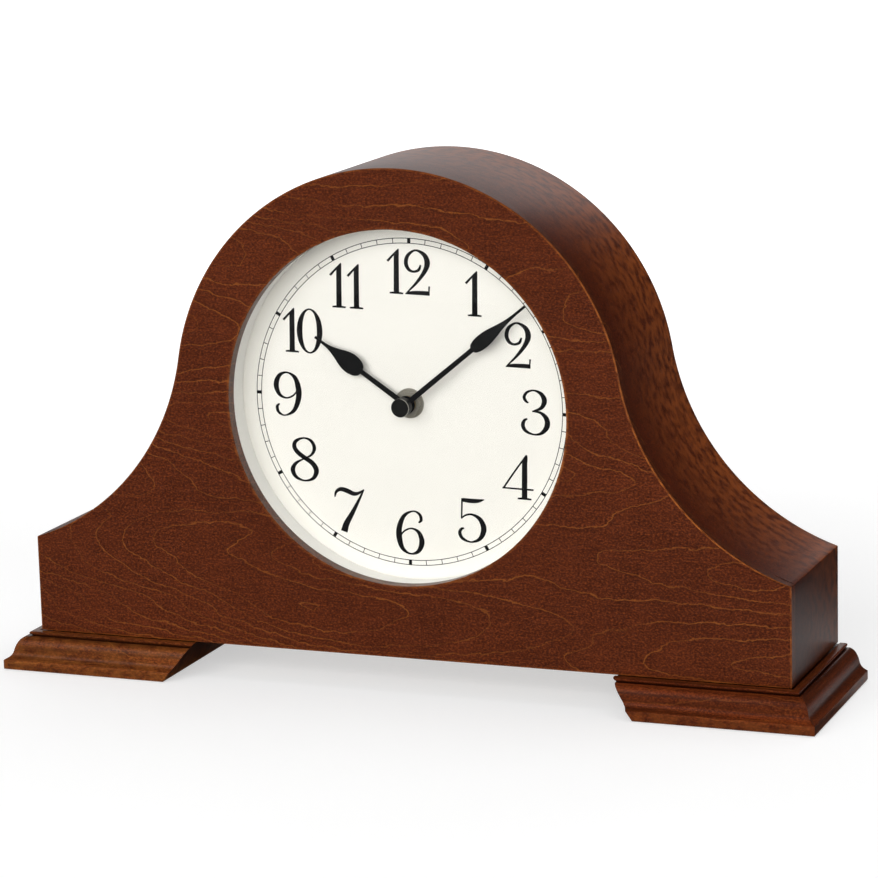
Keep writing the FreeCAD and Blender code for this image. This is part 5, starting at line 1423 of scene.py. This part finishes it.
def lamp(name, place, aim, size, power, glossy=True):
    """A soft lamp that looks at a point; one that is not glossy leaves no reflection anywhere."""
    data = bpy.data.lights.new(name, "AREA")
    data.shape = "RECTANGLE"
    data.size, data.size_y = size
    data.energy = power
    item = bpy.data.objects.new(name, data)
    bpy.context.scene.collection.objects.link(item)
    way = Vector(aim) - Vector(place)
    item.matrix_world = Matrix.Translation(place) @ way.to_track_quat("-Z", "Y").to_matrix().to_4x4()
    item.visible_glossy = glossy
    item.visible_transmission = glossy
    data.cycles.use_multiple_importance_sampling = glossy
    item.visible_camera = False
    return item


def lamps():
    """A wide key in front, weak ones above and behind, a card for the hood's sheen, a pale surround."""
    middle = (0, 0, 0.12)
    lamp("key", (-0.05, -2.4, 0.72), middle, (3.0, 1.8), 82, glossy=False)
    lamp("shine", (-1.1, -1.7, 1.7), middle, (0.8, 0.8), 3)
    lamp("over", (0.5, 0.3, 1.9), middle, (1.6, 1.2), 9, glossy=False)
    lamp("card", (-0.50, 1.2, 0.55), (0, 0, 0.2), (1.2, 1.0), 2.9)
    lamp("rear", (1.0, 2.2, 0.6), middle, (1.0, 0.8), 8, glossy=False)
    lamp("rim", (0.62, -0.28, 0.03), (0, -0.05, 0.13), (0.12, 0.2), 0.6).visible_diffuse = False
    world = bpy.context.scene.world or bpy.data.worlds.new("surround")
    bpy.context.scene.world = world
    world.use_nodes = True
    background = world.node_tree.nodes.get("Background") or world.node_tree.nodes.new("ShaderNodeBackground")
    background.inputs[0].default_value = (1.0, 1.0, 1.0, 1)
    background.inputs[1].default_value = 0.30
    world.cycles_visibility.glossy = False


def camera(scene, stage):
    """Camera on a sphere round its target, rolled about its own axis."""
    a, e = stage.azimuth, stage.elevation
    back = Vector((math.sin(a) * math.cos(e), -math.cos(a) * math.cos(e), math.sin(e)))
    right = Vector((math.cos(a), math.sin(a), 0.0))
    up = back.cross(right)
    tilted_right = right * math.cos(stage.roll) + up * math.sin(stage.roll)
    tilted_up = up * math.cos(stage.roll) - right * math.sin(stage.roll)
    data = bpy.data.cameras.new("camera")
    data.lens = stage.lens
    data.sensor_width = 36.0
    data.clip_end = 30.0
    item = bpy.data.objects.new("camera", data)
    scene.collection.objects.link(item)
    place = Vector(stage.target) + back * stage.distance
    turn = Matrix((tilted_right, tilted_up, back)).transposed().to_4x4()
    item.matrix_world = Matrix.Translation(place) @ turn
    scene.camera = item


class CLOCK_PT_panel(bpy.types.Panel):
    """Sidebar panel that lists the clock's pieces and sizes"""
    bl_idname = "CLOCK_PT_panel"
    bl_label = "Mantel Clock"
    bl_space_type = "VIEW_3D"
    bl_region_type = "UI"
    bl_category = "Clock"

    def draw(self, context):
        for operator in OPERATORS:
            self.layout.operator(operator.bl_idname)
        for name in GROUPS:
            group = getattr(context.scene, name)
            box = self.layout.box()
            for key in group.bl_rna.properties.keys():
                if key not in {"rna_type", "name"}:
                    box.prop(group, key)


OPERATORS = (CLOCK_OT_case, CLOCK_OT_feet, CLOCK_OT_dial, CLOCK_OT_print, CLOCK_OT_hands, CLOCK_OT_back,
             CLOCK_OT_movement, CLOCK_OT_stage)
GROUPS = {"clock_case": ClockCase, "clock_dial": ClockDial, "clock_hands": ClockHands,
          "clock_colours": ClockColours, "clock_stage": ClockStage}


def register():
    """Registers the property groups, the operators and the panel."""
    for name, group in GROUPS.items():
        bpy.utils.register_class(group)
        setattr(bpy.types.Scene, name, PointerProperty(type=group))
    for item in OPERATORS + (CLOCK_PT_panel,):
        bpy.utils.register_class(item)


def unregister():
    """Takes everything out again."""
    for item in reversed(OPERATORS + (CLOCK_PT_panel,)):
        bpy.utils.unregister_class(item)
    for name, group in GROUPS.items():
        delattr(bpy.types.Scene, name)
        bpy.utils.unregister_class(group)


def main():
    """Runs every operator in order."""
    register()
    for operator in OPERATORS:
        area, name = operator.bl_idname.split(".")
        getattr(getattr(bpy.ops, area), name)()


if __name__ == "__main__":
    main()
